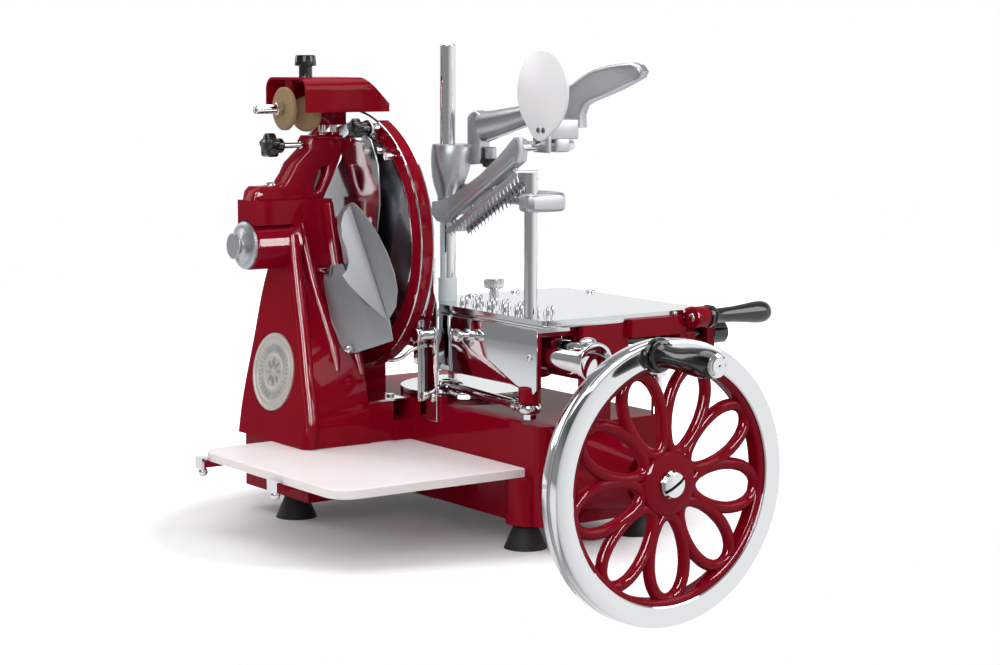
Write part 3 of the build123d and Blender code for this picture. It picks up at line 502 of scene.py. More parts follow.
# ---- flywheel ---------------------------------------------------------------------------
rim = lathe([(140, -1), (141.5, 0), (161, 0), (164, -1.4), (165, -4), (165, -10), (164, -11.2),
             (162.2, -12), (162.2, -15), (164, -16), (165, -17), (165, -25), (163.5, -28), (141, -28),
             (140, -27), (140, -1)], WHEEL, TO_FRONT, 144)
dress(rim, "flywheel_rim_polished", "chrome", "flywheel", ["flywheel_rim"], smooth=30)
band = lathe([(133, -6), (134.5, -4.2), (137.5, -3.2), (139.9, -3), (139.9, -25), (134.5, -24),
              (133, -22), (133, -6)], WHEEL, TO_FRONT, 144)
PETALS, FIRST_PETAL = 9, radians(112)
PETAL_MIDDLE, PETAL_REACH, PETAL_WIDTH, PETAL_SWELL = 86, 49.5, 25.5, 4.0
PETAL_BAR, PETAL_DEPTH, PETAL_POINTS = 7.2, 13.5, 16
petals = []
for number in range(PETALS):
    angle = FIRST_PETAL + radians(number * 360 / PETALS)
    loop = []
    for step in range(PETAL_POINTS):
        t = 2 * pi * step / PETAL_POINTS
        # a slender leaf, a little narrower towards the hub
        outward = PETAL_MIDDLE + PETAL_REACH * cos(t)
        across = (PETAL_WIDTH + PETAL_SWELL * cos(t)) * sin(t)
        loop.append((WHEEL[0] + outward * cos(angle) - across * sin(angle), WHEEL[1] + PETAL_DEPTH,
                     WHEEL[2] + outward * sin(angle) + across * cos(angle)))
    petals.append(tube(loop, PETAL_BAR, cyclic=True))
hub = lathe([(0, -2.4), (12, -2.4), (30, -3), (36, -5), (38.5, -9), (38, -20), (27, -27), (26, -38),
             (0, -38)], WHEEL, TO_FRONT, 72)
dress(join([band, hub] + petals), "flywheel_spider_cast", "red_enamel", "flywheel", ["flywheel_spider"])
dress(slotted_screw((WHEEL[0], WHEEL[1] + 2.5, WHEEL[2]), TO_FRONT, 16.5, 9.5, 0.5), "wheel_hub_screw",
      "chrome", "flywheel", ["hub_screw"], smooth=30)

GRIP_RADIUS, GRIP_ANGLE = 152, radians(10)
GRIP_X, GRIP_Z = WHEEL[0] - GRIP_RADIUS * sin(GRIP_ANGLE), WHEEL[2] + GRIP_RADIUS * cos(GRIP_ANGLE)
grip = lathe([(6.05, 0.4), (19, 0.4), (20, 1.5), (20, 5.5), (18.6, 7.2), (16, 7.6), (17.6, 8.4),
              (18.2, 10), (17.4, 12), (14.2, 13.4), (12.9, 18), (12.6, 30), (13.8, 46), (15.8, 62),
              (16.8, 78), (16.6, 90), (15.4, 97), (13.4, 102.4), (6.05, 102.4), (6.05, 0.4)],
             (GRIP_X, WHEEL[1], GRIP_Z), TO_FRONT, 56)
dress(grip, "wheel_grip_turned", "black_plastic", "grip", ["wheel_grip"])
dress(slotted_screw((GRIP_X, WHEEL[1] - 102.6, GRIP_Z), TO_FRONT, 13.2, 4.4, 0.9), "grip_cap_screw",
      "chrome", "flywheel")

# ---- column ribs, badge and base ------------------------------------------------------------
RIB_UPPER = [(-137, 157, 372), (-130.5, 155, 337), (-127, 142, 294), (-122.5, 124, 253), (-121, 106, 218),
             (-122, 94, 190)]
RIB_LOWER = [(-147, 157, 356), (-152, 139, 300), (-157, 118, 241), (-164, 96, 184), (-170, 76, 129),
             (-171, 74, 100)]
RIB_RIGHT = [(-98, 157, 395), (-91, 151, 322), (-93, 123, 249), (-91, 103, 212), (-89, 91, 182)]
for number, (line, radius) in enumerate([(RIB_UPPER, 7), (RIB_LOWER, 8), (RIB_RIGHT, 8.5)]):
    thin = [0.9] + [1.0] * (len(line) - 2) + [0.45]
    dress(tube(line, radius, taper=thin), f"column_rib_{number}", "red_enamel", "frame", smooth=60)

BADGE_NORMAL = (-0.9909, 0, 0.1345)
BADGE_CENTRE = (-169.4, 170, 184)
disc = lathe([(0, 1.2), (20, 1.2), (20.4, 2.0), (21.4, 2.4), (22.4, 2.0), (22.8, 1.3), (37.5, 1.3),
              (38, 2.1), (39.2, 2.4), (40.4, 2.1), (41, 1.3), (45, 1.3), (46, 2.6), (48.6, 2.6), (49, 2),
              (49, 0), (0, 0)], BADGE_CENTRE, BADGE_NORMAL, 96)
dress(disc, "badge_disc", "badge_silver", "frame", ["badge"], smooth=30)
# raised ornament of the badge: small leaves, and short rays round them
BADGE_LEAVES, BADGE_RAYS = 8, 36
motifs = []
badge_up = Vector((0.1345, 0, 0.9909))
badge_across = Vector((0, -1, 0))


def on_badge(across, up, rise):
    """A place on the badge's face, and above it by rise."""
    place = Vector(BADGE_CENTRE) + badge_across * across + badge_up * up + Vector(BADGE_NORMAL) * rise
    return tuple(place)


for number in range(BADGE_LEAVES):
    angle = 2 * pi * number / BADGE_LEAVES
    leaf_points = [on_badge(6 * cos(angle), 6 * sin(angle), 1.6),
                   on_badge(12 * cos(angle + 0.14), 12 * sin(angle + 0.14), 2.1),
                   on_badge(17.5 * cos(angle), 17.5 * sin(angle), 1.5)]
    motifs.append(tube(leaf_points, 1.5, taper=[0.4, 1, 0.3]))
for number in range(BADGE_RAYS):
    angle = 2 * pi * number / BADGE_RAYS
    motifs.append(tube([on_badge(26 * cos(angle), 26 * sin(angle), 1.5),
                        on_badge(34.5 * cos(angle + 0.05), 34.5 * sin(angle + 0.05), 1.5)], 0.9))
dress(join(motifs), "badge_ornament", "satin_steel", "frame")

# ---- polished plate beside the column, guard strip and its screws ---------------------------
COVER = [(131, 490), (222, 396), (214, 318), (168, 272), (104, 278), (80, 396), (84, 445), (100, 475)]
cover = plate([COVER], 2.0, (-68.6, 0, 0), Y_AXIS, X_AXIS, 0.6)
dress(cover, "blade_cover_plate", "bright_steel", "frame")
STRIP = [(13.5, 128), (50.5, 128), (50.5, 262), (47, 276), (42, 290), (42, 332), (20, 332), (20, 290),
         (13.5, 276)]
strip = plate([STRIP], 4.0, (-28, 0, 0), Y_AXIS, X_AXIS, 1.0)
dress(strip, "guard_strip_polished", "chrome", "frame", ["guard_bracket"])
shoulder = tube([(-30, 49, 150), (-30, 49, 262), (-30.5, 46, 277), (-33, 40, 288)], 2.2)
dress(shoulder, "guard_strip_lip", "chrome", "frame")
for number, (y, z) in enumerate([(22, 158), (42, 158)]):
    dress(slotted_screw((-28.2, y, z), TO_LEFT, 6.0, 4.0, 0.7), f"guard_foot_screw_{number}", "chrome",
          "frame")
clamp_screw = lathe([(0, 0), (6, 0), (6, 4), (5, 5), (5, 9), (8.5, 10), (9.2, 11.5), (9.2, 17), (8, 18.6),
                     (0, 19)], (-28, 34, 236), TO_LEFT, 40)
dress(clamp_screw, "guard_clamp_screw", "chrome", "frame")
stay = tube([(-29, 34, 222), (-44, 40, 218), (-58, 50, 206), (-66, 64, 202)], 2.4)
dress(stay, "deflector_stay", "chrome", "frame")

# ---- guard ring and blade --------------------------------------------------------------------
RING_AXIS = (-28, BLADE_Y, BLADE_Z)
RING_GAP = (-60, -20, 120, 248, 466, 530)
ring = lathe([(162, 0), (165.2, 0), (165.6, 0.8), (165.6, 17.4), (165, 18.4), (163.4, 18.8),
              (162.6, 18.2), (146.4, 17.6), (145.2, 18.2), (143.4, 18.2), (143, 17), (144.4, 15.6),
              (161, 15.2), (162, 14.4), (162, 0)], RING_AXIS, TO_LEFT, 180)
cut(ring, box(*RING_GAP))
dress(ring, "blade_guard_ring_enamelled", "red_enamel", "frame", ["blade_guard_ring"], smooth=30)
lips = []
for inner, outer, low, high in [(163.2, 166.2, 17.6, 19.6), (163.2, 166.2, 0, 2),
                                (142.6, 145.6, 16.4, 19.4)]:
    middle = (low + high) / 2
    lips.append(lathe([(inner, low), (outer - 0.5, low), (outer, middle), (outer - 0.5, high),
                       (inner + 0.5, high), (inner, middle), (inner, low)], RING_AXIS, TO_LEFT, 180))
lips = join(lips)
cut(lips, box(*RING_GAP))
dress(lips, "blade_guard_ring_lips", "chrome", "frame", smooth=50)
for number, (y, z) in enumerate([(120.5, 478), (96, 462)]):
    stud = lathe([(0, 0), (4.4, 0), (4.4, 5), (3.4, 5.6), (3.4, 10), (5.2, 10.6), (5.2, 15), (4, 16.4),
                  (0, 16.6)], (-47, y, z), TO_LEFT, 32)
    dress(stud, f"ring_stud_{number}", "chrome", "frame")
dished = lathe([(9, 2), (60, 2), (98, 4.4), (100, 4.9), (127.6, 10.9), (149.2, 20.9), (150, 20.6),
                (149.6, 21.6), (128, 12.8), (101, 6.6), (99, 5.2), (60, 5), (40, 5), (9, 5), (9, 2)],
               (-55, BLADE_Y, BLADE_Z), X_AXIS, 180)
dress(dished, "blade_dished", "blade_steel", "blade", ["blade"], smooth=14)

# ---- slice deflector: three sheets meeting on a rolled ridge ----------------------------------
RIDGE_TOP = (-95, 101, 398)
RIDGE_DOWN = (0.0975, -0.3844, -0.918)
LEAF_NORMAL = (0.8809, 0.4625, -0.1001)
WING_NORMAL = (-0.3130, -0.8887, 0.3390)
CHEEK = [(2, -3), (-1, 9), (6, 26), (16, 32), (44, 36), (66, 40), (87, 39), (122, 29), (154, 1)]
LEAF = [(66, 39), (62, 55), (65, 67), (79, 73), (127, 79), (167, 75), (174, 71), (177, 57), (179, 26),
        (180, 3), (154, -1), (121, 26), (87, 37)]
WING = [(2, 4), (9, 14), (22, 22), (39, 26), (55, 25), (72, 27), (81, 33), (86, 40), (100, 35), (124, 22),
        (149, 6), (154, 1)]
leaf = plate([LEAF], 1.6, RIDGE_TOP, RIDGE_DOWN, LEAF_NORMAL, 0.4)
cheek_normal = tuple(Vector(LEAF_NORMAL) + 0.16 * Vector(WING_NORMAL))
cheek = plate([CHEEK], 1.6, RIDGE_TOP, RIDGE_DOWN, cheek_normal, 0.4, smooth=True)
wing = plate([WING], 1.6, RIDGE_TOP, RIDGE_DOWN, tuple(-n for n in WING_NORMAL), 0.4)
sheet_across = design(LEAF_NORMAL).cross(design(RIDGE_DOWN))


def on_leaf(down, across, front):
    """A place in front of the leaf: down along the ridge and across from it."""
    place = Vector(RIDGE_TOP) + down * design(RIDGE_DOWN) + across * sheet_across
    return tuple(place - front * design(LEAF_NORMAL))


ball = lathe([(0, -6), (2.6, -5.4), (4.8, -3.2), (5.6, 0), (4.8, 3.2), (3, 4.9), (2.4, 5.4), (2.4, 9),
              (0, 9)], on_leaf(171, 63, 7), LEAF_NORMAL, 32)
for piece in (leaf, cheek, wing):
    piece.data.materials.clear()
    piece.data.materials.append(FINISHES["satin_steel"])
ball.data.materials.append(FINISHES["chrome"])
dress(join([leaf, cheek, wing, ball]), "slice_deflector_sheets", "satin_steel", "frame",
      ["slice_deflector"], smooth=30)
dress(slotted_screw(on_leaf(72, 62, 0.2), tuple(-n for n in LEAF_NORMAL), 3.2, 1.8), "deflector_screw",
      "machine_steel", "frame")

# ---- blade shaft cap and sharpener ------------------------------------------------------------
CAP_Z = BLADE_Z - 2
FLUTES, FLUTE_CIRCLE = 45, 29.2
cap = lathe([(0, -1), (15.4, -1), (16.4, -1.8), (16.4, -3.2), (13.6, -4.8), (10.6, -7.6), (10, -10),
             (11.6, -12.2), (16, -14.2), (21.6, -15.6), (22.4, -15), (26.4, -15.4), (28.4, -16),
             (29.4, -17), (29.4, -20.6), (28.4, -21.6), (9, -21.6), (0, -21.6)], (-220, BLADE_Y, CAP_Z),
            TO_LEFT, 90)
flutes = []
for number in range(FLUTES):
    angle = 2 * pi * number / FLUTES
    y, z = BLADE_Y + FLUTE_CIRCLE * cos(angle), CAP_Z + FLUTE_CIRCLE * sin(angle)
    flutes.append(tube([(-202.6, y, z), (-201.2, y, z), (-199.8, y, z)], 1.1, taper=[0.6, 1, 0.6]))
dress(join([cap] + flutes), "blade_shaft_cap_knurled", "aluminium", "frame", ["blade_shaft_cap"],
      smooth=32)
sleeve = lathe([(0, 0), (29, 0), (30.4, 1), (30.8, 2.4), (30.8, 46), (33, 52), (38, 58), (0, 58)],
               (-198.6, BLADE_Y, CAP_Z), X_AXIS, 90)
dress(sleeve, "blade_shaft_boss", "red_enamel", "frame")

BRACKET = [(-66, 479), (-112, 479), (-117, 472), (-116, 464), (-125, 456), (-137, 445), (-144, 432),
           (-152, 421), (-168, 417), (-188, 417), (-194, 411), (-197, 397), (-124, 397), (-97, 397),
           (-84, 421), (-72, 446), (-66, 462)]
WINDOW = [(-109, 408), (-109, 423), (-102, 435), (-95, 440), (-89, 440), (-92, 430), (-102, 411)]
arm = plate([BRACKET, WINDOW], 31.6, (0, 199.8, 0), X_AXIS, TO_FRONT, 3.2)
for x in (-88, -72):
    collar = lathe([(4.6, 0), (7.4, 0), (8, 0.8), (8, 3.4), (7.4, 4.2), (4.6, 4.2), (4.6, 0)],
                   (x, 184, 478.6), Z_AXIS, 32)
    arm = join([arm, collar])
dress(arm, "sharpener_gooseneck", "red_enamel", "frame", ["sharpener_bracket"], smooth=35)
dress(slotted_screw((-163, 184, 417), Z_AXIS, 7.6, 5, 0.4), "oil_filler_screw", "chrome", "frame")


LOBES, LOBE_DEPTH, LOBE_POINTS = 5, 0.13, 60


def lobed_knob(origin, axis, radius, thick, boss_radius, boss):
    """A five-lobed knob that starts at the origin, with a round boss on its far side."""
    outline = []
    for step in range(LOBE_POINTS):
        angle = 2 * pi * step / LOBE_POINTS
        reach = radius * (1 - LOBE_DEPTH * (1 - cos(LOBES * angle)))
        outline.append((reach * cos(angle), reach * sin(angle)))
    across = Vector((0, 0, 1)) if abs(axis[2]) < 0.5 else Vector((1, 0, 0))
    body = plate([outline], thick, origin, tuple(across), axis, 2.6)
    end = Vector(origin) + design(axis) * (thick - 1)
    neck = lathe([(0, 0), (boss_radius, 0), (boss_radius, boss - 2), (boss_radius - 1.6, boss),
                  (0, boss)], tuple(end), axis, 36)
    face = lathe([(0, 0.4), (radius * 0.42, 0.4), (radius * 0.5, 0), (radius * 0.5, -2), (0, -2)], origin,
                 tuple(-n for n in axis), 36)
    return join([body, neck, face])


dress(lobed_knob((-172, 184, 467), X_AXIS, 16, 15, 9.4, 11), "lock_knob_lobed", "black_plastic",
      "lock_knob", ["lock_knob"], smooth=34)
stem = lathe([(0, 0), (3.6, 0), (3.6, 26), (4.6, 26.4), (4.6, 28.6), (0, 28.8)], (-147.4, 184, 467),
             X_AXIS, 32)
dress(stem, "lock_knob_stem", "chrome", "lock_knob")
dress(lobed_knob((-88, 114, 489), X_AXIS, 13, 12, 8.6, 10), "guard_knob_lobed", "black_plastic",
      "guard_knob", ["guard_knob"], smooth=34)
stem = lathe([(0, 0), (3.6, 0), (3.6, 12), (6.4, 12.4), (6.4, 17), (3.8, 17.4), (3.8, 19.4), (0, 19.6)],
             (-67.4, 114, 489), X_AXIS, 32)
dress(stem, "guard_knob_stem", "chrome", "guard_knob")
link = plate([[(178, 452), (180, 462), (176, 474), (122, 499), (112, 500), (104, 493), (104, 484),
               (110, 478), (164, 450)]], 3.4, (-64, 0, 0), Y_AXIS, X_AXIS, 0.8)
dress(link, "guard_link_polished", "chrome", "frame", ["guard_link"])

wheel_a = lathe([(4.1, 0), (25.6, 0), (27, 1.2), (27, 5), (25.8, 6), (4.1, 6), (4.1, 0)],
                (-140.4, 183, 513), TO_LEFT, 72)
dress(wheel_a, "sharpener_wheel_a", "stone", "stone_a", ["sharpener_stone_a"])
spindle = lathe([(0, 0), (4, 0), (4, 8.6), (7.6, 9), (7.6, 14.5), (6.2, 15), (6.2, 44), (5.4, 45),
                 (3.4, 45.2), (3, 43.6), (0, 43.6)], (-140.8, 183, 513), TO_LEFT, 36)
dress(spindle, "sharpener_spindle_a", "chrome", "stone_a")
wheel_b = lathe([(0, -6), (10, -6), (13, -5.4), (21.4, -1), (22.4, 1), (22, 3), (4, 3.6), (4, 24),
                 (0, 24)], (-113, 183, 506), (0.8829, 0.4695, 0), 72)
dress(wheel_b, "sharpener_wheel_b", "stone", "stone_b", ["sharpener_stone_b"])
button = lathe([(0, 0), (8.6, 0), (8.6, 20.4), (9.4, 21), (13.4, 21.4), (13.8, 22.6), (12.9, 33),
                (11.8, 34.8), (8, 35), (7, 34), (0, 34)], (-112, 184, 545), Z_AXIS, 48)
dress(button, "sharpener_button", "black_plastic", "plunger", ["sharpener_plunger"])
pin = lathe([(0, 0), (4.7, 0), (4.7, 17), (4, 18), (0, 18.2)], (-42, 184, 533), (0.7071, 0, 0.7071), 32)
dress(pin, "hood_pin", "chrome", "hood")
tongue = plate([[(150, 440), (172, 440), (176, 450), (174, 476), (156, 476), (150, 462)]], 14,
               (-66, 0, 0), Y_AXIS, X_AXIS, 3)
dress(tongue, "hood_guide_tongue", "red_enamel", "frame")

# ---- table: spikes, screws, thumb screw --------------------------------------------------------
SPIKE_ROWS, SPIKE_COLUMNS = 4, 6
spikes = []
for row in range(SPIKE_ROWS):
    for column in range(SPIKE_COLUMNS):
        x, y = 6 + row * 11 - 3 * (column % 2), -142 + column * 29 + 6 * (row % 2)
        spikes.append(lathe([(0, 0), (2.5, 0), (2.5, 8), (1.6, 9.6), (0, 12)], (x, y, TABLE_TOP - 0.6),
                            Z_AXIS, 16))
dress(join(spikes), "table_spikes", "bright_steel", "table", smooth=30)
for number, (x, y) in enumerate([(68, 75), (142, 83), (224, 29)]):
    dress(slotted_screw((x, y, TABLE_TOP), Z_AXIS, 6.2, 3.4, 0.5 + number), f"table_screw_{number}",
          "chrome", "table")
rim_bar = box(-15.4, 231.4, -191.4, 97.4, 264.2, 268.4)
cut(rim_bar, box(-12, 228, -188, 94, 260, 275))
dress(rim_bar, "table_rim", "bright_steel", "table", bevel=0.8)
THUMB = (46, -5)
KNURLS, KNURL_CIRCLE = 40, 12.3
thumb = lathe([(0, 0.8), (6.4, 0.8), (6.4, 15), (5.4, 15.6), (5.4, 17), (6.4, 17.6), (11.6, 19.4),
               (12.4, 20.4), (12.4, 29.4), (11.4, 30.6), (0, 30.6)], (*THUMB, TABLE_TOP), Z_AXIS, 60)
knurls = []
for number in range(KNURLS):
    angle = 2 * pi * number / KNURLS
    x, y = THUMB[0] + KNURL_CIRCLE * cos(angle), THUMB[1] + KNURL_CIRCLE * sin(angle)
    knurls.append(tube([(x, y, 295), (x, y, 299), (x, y, 303)], 0.8, taper=[0.6, 1, 0.6]))
dress(join([thumb] + knurls), "thumb_screw_knurled", "chrome", "thumb_screw", ["thumb_screw"], smooth=30)

# ---- carriage: mirror shield, rod end, guide rod cap, feed lever ---------------------------------
SHIELD = [(-181, 262), (81, 262), (81, 193), (-128, 193), (-150, 189), (-156, 186), (-176, 186),
          (-181, 191)]
shield = plate([SHIELD], 2.0, (-18.1, 0, 0), Y_AXIS, X_AXIS, 0.5)
dress(shield, "side_shield_mirror", "mirror_steel", "carriage", ["side_shield"])
shield_knob = lathe([(0, 0), (3, 0), (3, 9), (4.4, 9.6), (4.4, 12), (7.4, 13.5), (8.6, 17), (7.6, 20.6),
                     (4.6, 22.8), (0, 23.4)], (-18.4, -42, 243), TO_LEFT, 48)
dress(shield_knob, "shield_knob", "chrome", "carriage")
dress(slotted_screw((-18.3, -168, 228), TO_LEFT, 4.4, 2.2), "shield_screw", "chrome", "carriage")
ROD_Z, ROD_THICK = 161, 12
ROD_EYE, CRANK_EYE = (-12, -160), (15.3, 53)
eye = lathe([(6.05, 0), (10.4, 0), (12.4, 1.6), (13.6, 4), (13.6, 8), (12.4, 10.4), (10.4, ROD_THICK),
             (6.05, ROD_THICK), (6.05, 0)], (*ROD_EYE, ROD_Z), Z_AXIS, 48)
crank_eye = lathe([(8, 0), (13, 0), (15.4, 2), (15.8, 6), (15.4, 10), (13, ROD_THICK), (8, ROD_THICK),
                   (8, 0)], (*CRANK_EYE, ROD_Z), Z_AXIS, 48)
rod_start = Vector((*ROD_EYE, ROD_Z + ROD_THICK / 2))
reach = design((CRANK_EYE[0] - ROD_EYE[0], CRANK_EYE[1] - ROD_EYE[1], 0))
shank = tube([tuple(rod_start + reach * distance) for distance in (11, 60, 130, 200)], 5.6)
rings = []
for distance in (16, 20, 30, 34, 184, 188, 198, 202):
    place = rod_start + reach * distance
    rings.append(lathe([(5, -2), (6.8, -2), (7.6, -1), (7.6, 1), (6.8, 2), (5, 2), (5, -2)], tuple(place),
                       tuple(reach), 36))
dress(join([eye, crank_eye, shank] + rings), "connecting_rod_turned", "chrome", "connecting_rod",
      ["connecting_rod"], smooth=34)
end_cap = lathe([(0, 1.4), (19, 1.2), (23, 0.4), (24.2, -1.2), (24.4, -3), (24.4, -7.4), (23.6, -8.4),
                 (22.4, -9), (22.4, -16), (0, -16)], (15, -253.6, 229), TO_FRONT, 90)
plug = lathe([(0, 0), (10, 0), (10, 3), (8, 5.4), (4, 6.8), (0, 7.2)], (15, -237, 250.6), Z_AXIS, 40)
dress(join([end_cap, plug]), "guide_rod_end", "chrome", "frame", smooth=34)

boss = lathe([(0, 0), (11.6, 0), (13, 1.4), (13, 20.4), (12, 21.6), (0, 21.6)], (196.6, -208, 266),
             X_AXIS, 56)
elbow = tube([(206, -186, 243), (206, -181, 252), (206, -184, 264), (206, -196, 270), (206, -206, 268)],
             8.5, taper=[1.1, 0.9, 0.85, 0.9, 1.0])
pivot = lathe([(0, 0), (11, 0), (12, 1), (12, 15), (11, 16), (0, 16)], (196, -186, 243), X_AXIS, 40)
dress(join([boss, elbow, pivot]), "feed_lever_arm", "red_enamel", "feed_lever", ["feed_lever"], smooth=40)
dress(slotted_screw((197, -208, 266), TO_LEFT, 5.4, 3.2), "feed_lever_screw", "chrome", "feed_lever")
handle = lathe([(6.06, 0), (12.6, 0), (14, 1.2), (14, 4.6), (12.2, 6), (10.6, 6.8), (12.4, 8),
                (12.8, 9.6), (12, 11), (10.2, 12), (9.4, 16), (9.2, 26), (9.8, 42), (11.4, 60),
                (13.2, 76), (13.8, 86), (13, 93), (10.4, 98), (6.5, 100), (6.06, 99), (6.06, 0)],
               (218.4, -208, 266), X_AXIS, 56)
dress(handle, "feed_grip_turned", "black_plastic", "feed_grip", ["feed_grip"])
tip = lathe([(0, 0), (5.9, 0), (5.9, 99.4), (4, 100.8), (0, 101.2)], (218, -208, 266), X_AXIS, 32)
dress(tip, "feed_grip_end", "black_plastic", "feed_lever")

# ---- meat clamp: barrel, guide, press arm, lever, disc ------------------------------------------
LEAN, LEAN_HEIGHT = 7.5, 64


def barrel_lean(height):
    """The barrel leans to the left over its upper part."""
    return -LEAN * min(1.0, max(0.0, (height + LEAN_HEIGHT) / LEAN_HEIGHT))


barrel = lathe([(0, -86), (12.6, -86), (13, -65), (14.6, -61), (18.6, -52), (22.2, -40), (24.8, -26),
                (26, -12), (26, -1.6), (25, 0), (13.4, 0), (12.6, -1.2), (0, -1.2)], (*REAR_POST, 470),
               Z_AXIS, 72, barrel_lean)
pin_lug = softened(box(4.2, 18, 20, 50, 384, 404), 4, 4)
rod_lug = softened(box(28, 50, 22, 44, 396, 421), 4, 4)
link_lug = softened(box(30, 44, 36, 52, 452, 468), 4, 4)
dress(join([barrel, pin_lug, rod_lug, link_lug]), "clamp_barrel", "aluminium", "clamp", ["clamp_hub"],
      smooth=34)
GUIDE = [(-15, -160), (-15, -141), (-12, -137), (33, -137), (39, -140), (42, -148), (41, -157),
         (36, -163), (28, -165), (-10, -165)]
yoke = plate([GUIDE], 22, (0, 0, 398.5), X_AXIS, Z_AXIS, 5)
rods = [tube([(x, -140, z), (x, -60, z), (x, 26, z)], 4.2) for x, z in ((36, 405), (44, 413))]
flat_bar = plate([[(30, -140), (47, -140), (47, 24), (30, 24)]], 5, (0, 0, 415), X_AXIS, Z_AXIS, 1.6)
dress(join([yoke, flat_bar] + rods), "clamp_guide_yoke", "aluminium", "clamp", ["clamp_guide"], smooth=34)
knob = lathe([(0, 0), (4, 0), (4, 13), (8.6, 14), (10.8, 15.4), (11.2, 18), (10.6, 25), (9.2, 28),
              (8.8, 40), (8, 44), (0, 44.5)], (27.6, 62, 452), X_AXIS, 48)
dress(knob, "clamp_knob_turned", "black_plastic", "clamp_knob", ["clamp_knob"])

ARM = [(58, 399), (40, 401), (18, 407), (-5, 418), (-45, 437), (-84, 461), (-116, 485), (-125, 485),
       (-127, 470), (-122, 455), (29, 372), (48, 375), (60, 384)]
ARM_THICK = [(14, 392), (10, 408), (-5, 416), (-45, 435), (-84, 459), (-116, 483), (-122, 480),
             (-118, 456), (10, 385)]
FASCIA = [(20, 377), (-120, 454), (-121, 463), (22, 386)]
SLOPE = (0, 0.878, -0.4787)
SLOPE_UP = (0, 0.4787, 0.878)
COMB_END = (-122, 445)
COMB_FLAT = [(-5, 2), (28, 2), (28, 170), (-5, 170)]
pieces = [plate([ARM], 9.2, (-6, 0, 0), Y_AXIS, X_AXIS, 2),
          plate([ARM_THICK], 12, (2, 0, 0), Y_AXIS, X_AXIS, 3),
          plate([FASCIA], 4, (-8.6, 0, 0), Y_AXIS, X_AXIS, 1.8),
          plate([COMB_FLAT], 3, (0, -122, 444), X_AXIS, SLOPE_UP, 0.8)]
for step in (12, 60, 110, 156):
    place = Vector((2, *COMB_END)) + design(SLOPE) * step
    pieces.append(lathe([(0, 0), (4, 0), (4, 8), (0, 8)], tuple(place), SLOPE_UP, 24))
comb = [(2, 0), (2, 5)]
TEETH, TOOTH_PITCH = 20, 8.3
for tooth in range(TEETH):
    start = 3 + tooth * TOOTH_PITCH
    comb += [(start, 5), (start + 1.2, 12.5), (start + 2.8, 5), (start + 5.4, 4.4)]
comb += [(170, 5), (170, 0)]
for x in (-4.6, 26.4):
    pieces.append(plate([comb], 1.6, (x + 1.6, *COMB_END), SLOPE, TO_LEFT, 0.3))
PRESS_SPIKES, SPIKE_PITCH = 18, 8.9
for x in (-2.2, 24):
    for spike in range(PRESS_SPIKES):
        place = Vector((x, *COMB_END)) + design(SLOPE) * (8 + spike * SPIKE_PITCH)
        pieces.append(lathe([(0, 0), (1.7, 0), (1.2, 5), (0, 8)], tuple(place),
                            tuple(-n for n in SLOPE_UP), 10))
dress(join(pieces), "press_arm_toothed", "aluminium", "press", ["press_bar"], smooth=30)
shaft = lathe([(0, 0), (5.4, 0), (6, 0.6), (6, 86), (5.4, 86.8), (0, 86.8)], (-5, -116, 474), X_AXIS, 36)
dress(shaft, "press_cross_shaft", "chrome", "press")

LEVER_ALONG = (0.357, -0.934, 0)
LEVER_NORMAL = (-0.934, -0.357, 0)


def on_lever(along, height, out=0.0):
    """A place in the lever's upright plane, or out of it."""
    place = Vector((50, 30, 0)) + Vector(LEVER_ALONG) * along + Vector(LEVER_NORMAL) * out
    return place.x, place.y, height


slab = plate([[(-14, 450), (-14, 504), (-10, 509), (-2, 512), (6, 508), (6, 446), (-8, 445)]], 24,
             on_lever(0, 0, -12), LEVER_ALONG, LEVER_NORMAL, 3)
body = tube([on_lever(4, 492), on_lever(28, 497), on_lever(70, 508), on_lever(106, 517),
             on_lever(134, 529)], 18, taper=[1.05, 0.95, 0.72, 0.6, 0.62])
PADDLE = [(106, 520), (120, 538), (137, 547), (152, 557), (166, 564), (188, 569.5), (206, 572),
          (221, 573), (231, 570), (237, 563), (233, 555), (219, 548), (204, 541), (181, 532), (164, 526),
          (154, 520), (150, 510), (151, 494), (126, 494), (120, 506)]
paddle = plate([PADDLE], 20, on_lever(0, 0, -10), LEVER_ALONG, LEVER_NORMAL, 5)
front_block = softened(box(38, 85, -126, -100, 481, 506), 2.8, 3)
tab = softened(box(50, 72, -126, -106, 466, 483), 2.8, 3)
bracket = softened(box(29.2, 37, -136, -106, 466, 500), 2.8, 3)
stub = lathe([(0, 0), (7, 0), (7.6, 1), (7.6, 14), (6.4, 15), (0, 15)], on_lever(14, 452), Z_AXIS, 32)
dress(join([slab, body, paddle, front_block, tab, bracket, stub]), "clamp_lever_cast", "aluminium",
      "press", ["clamp_lever"], smooth=40)
under_rod = tube([on_lever(16, 476, 9), on_lever(40, 484, 9), on_lever(74, 496, 8)], 2.6)
link_rod = tube([on_lever(-3, 470, 4), (42, 41, 462), (40, 43, 460)], 4.4)
dress(join([under_rod, link_rod]), "clamp_lever_rods", "chrome", "press")
lower_knob = lathe([(0, 0), (8, 0), (10.4, 2), (10.8, 6), (9.4, 10), (6, 11.4), (0, 11.8)],
                   on_lever(14, 452.6), (0, 0, -1), 40)
dress(lower_knob, "clamp_lever_knob", "black_plastic", "press")

EGG_TOP, EGG_TOP_RADIUS = Vector((-130, 538)), 50
EGG_FOOT, EGG_FOOT_RADIUS = Vector((-126, 502)), 22
EGG_POINTS = 72


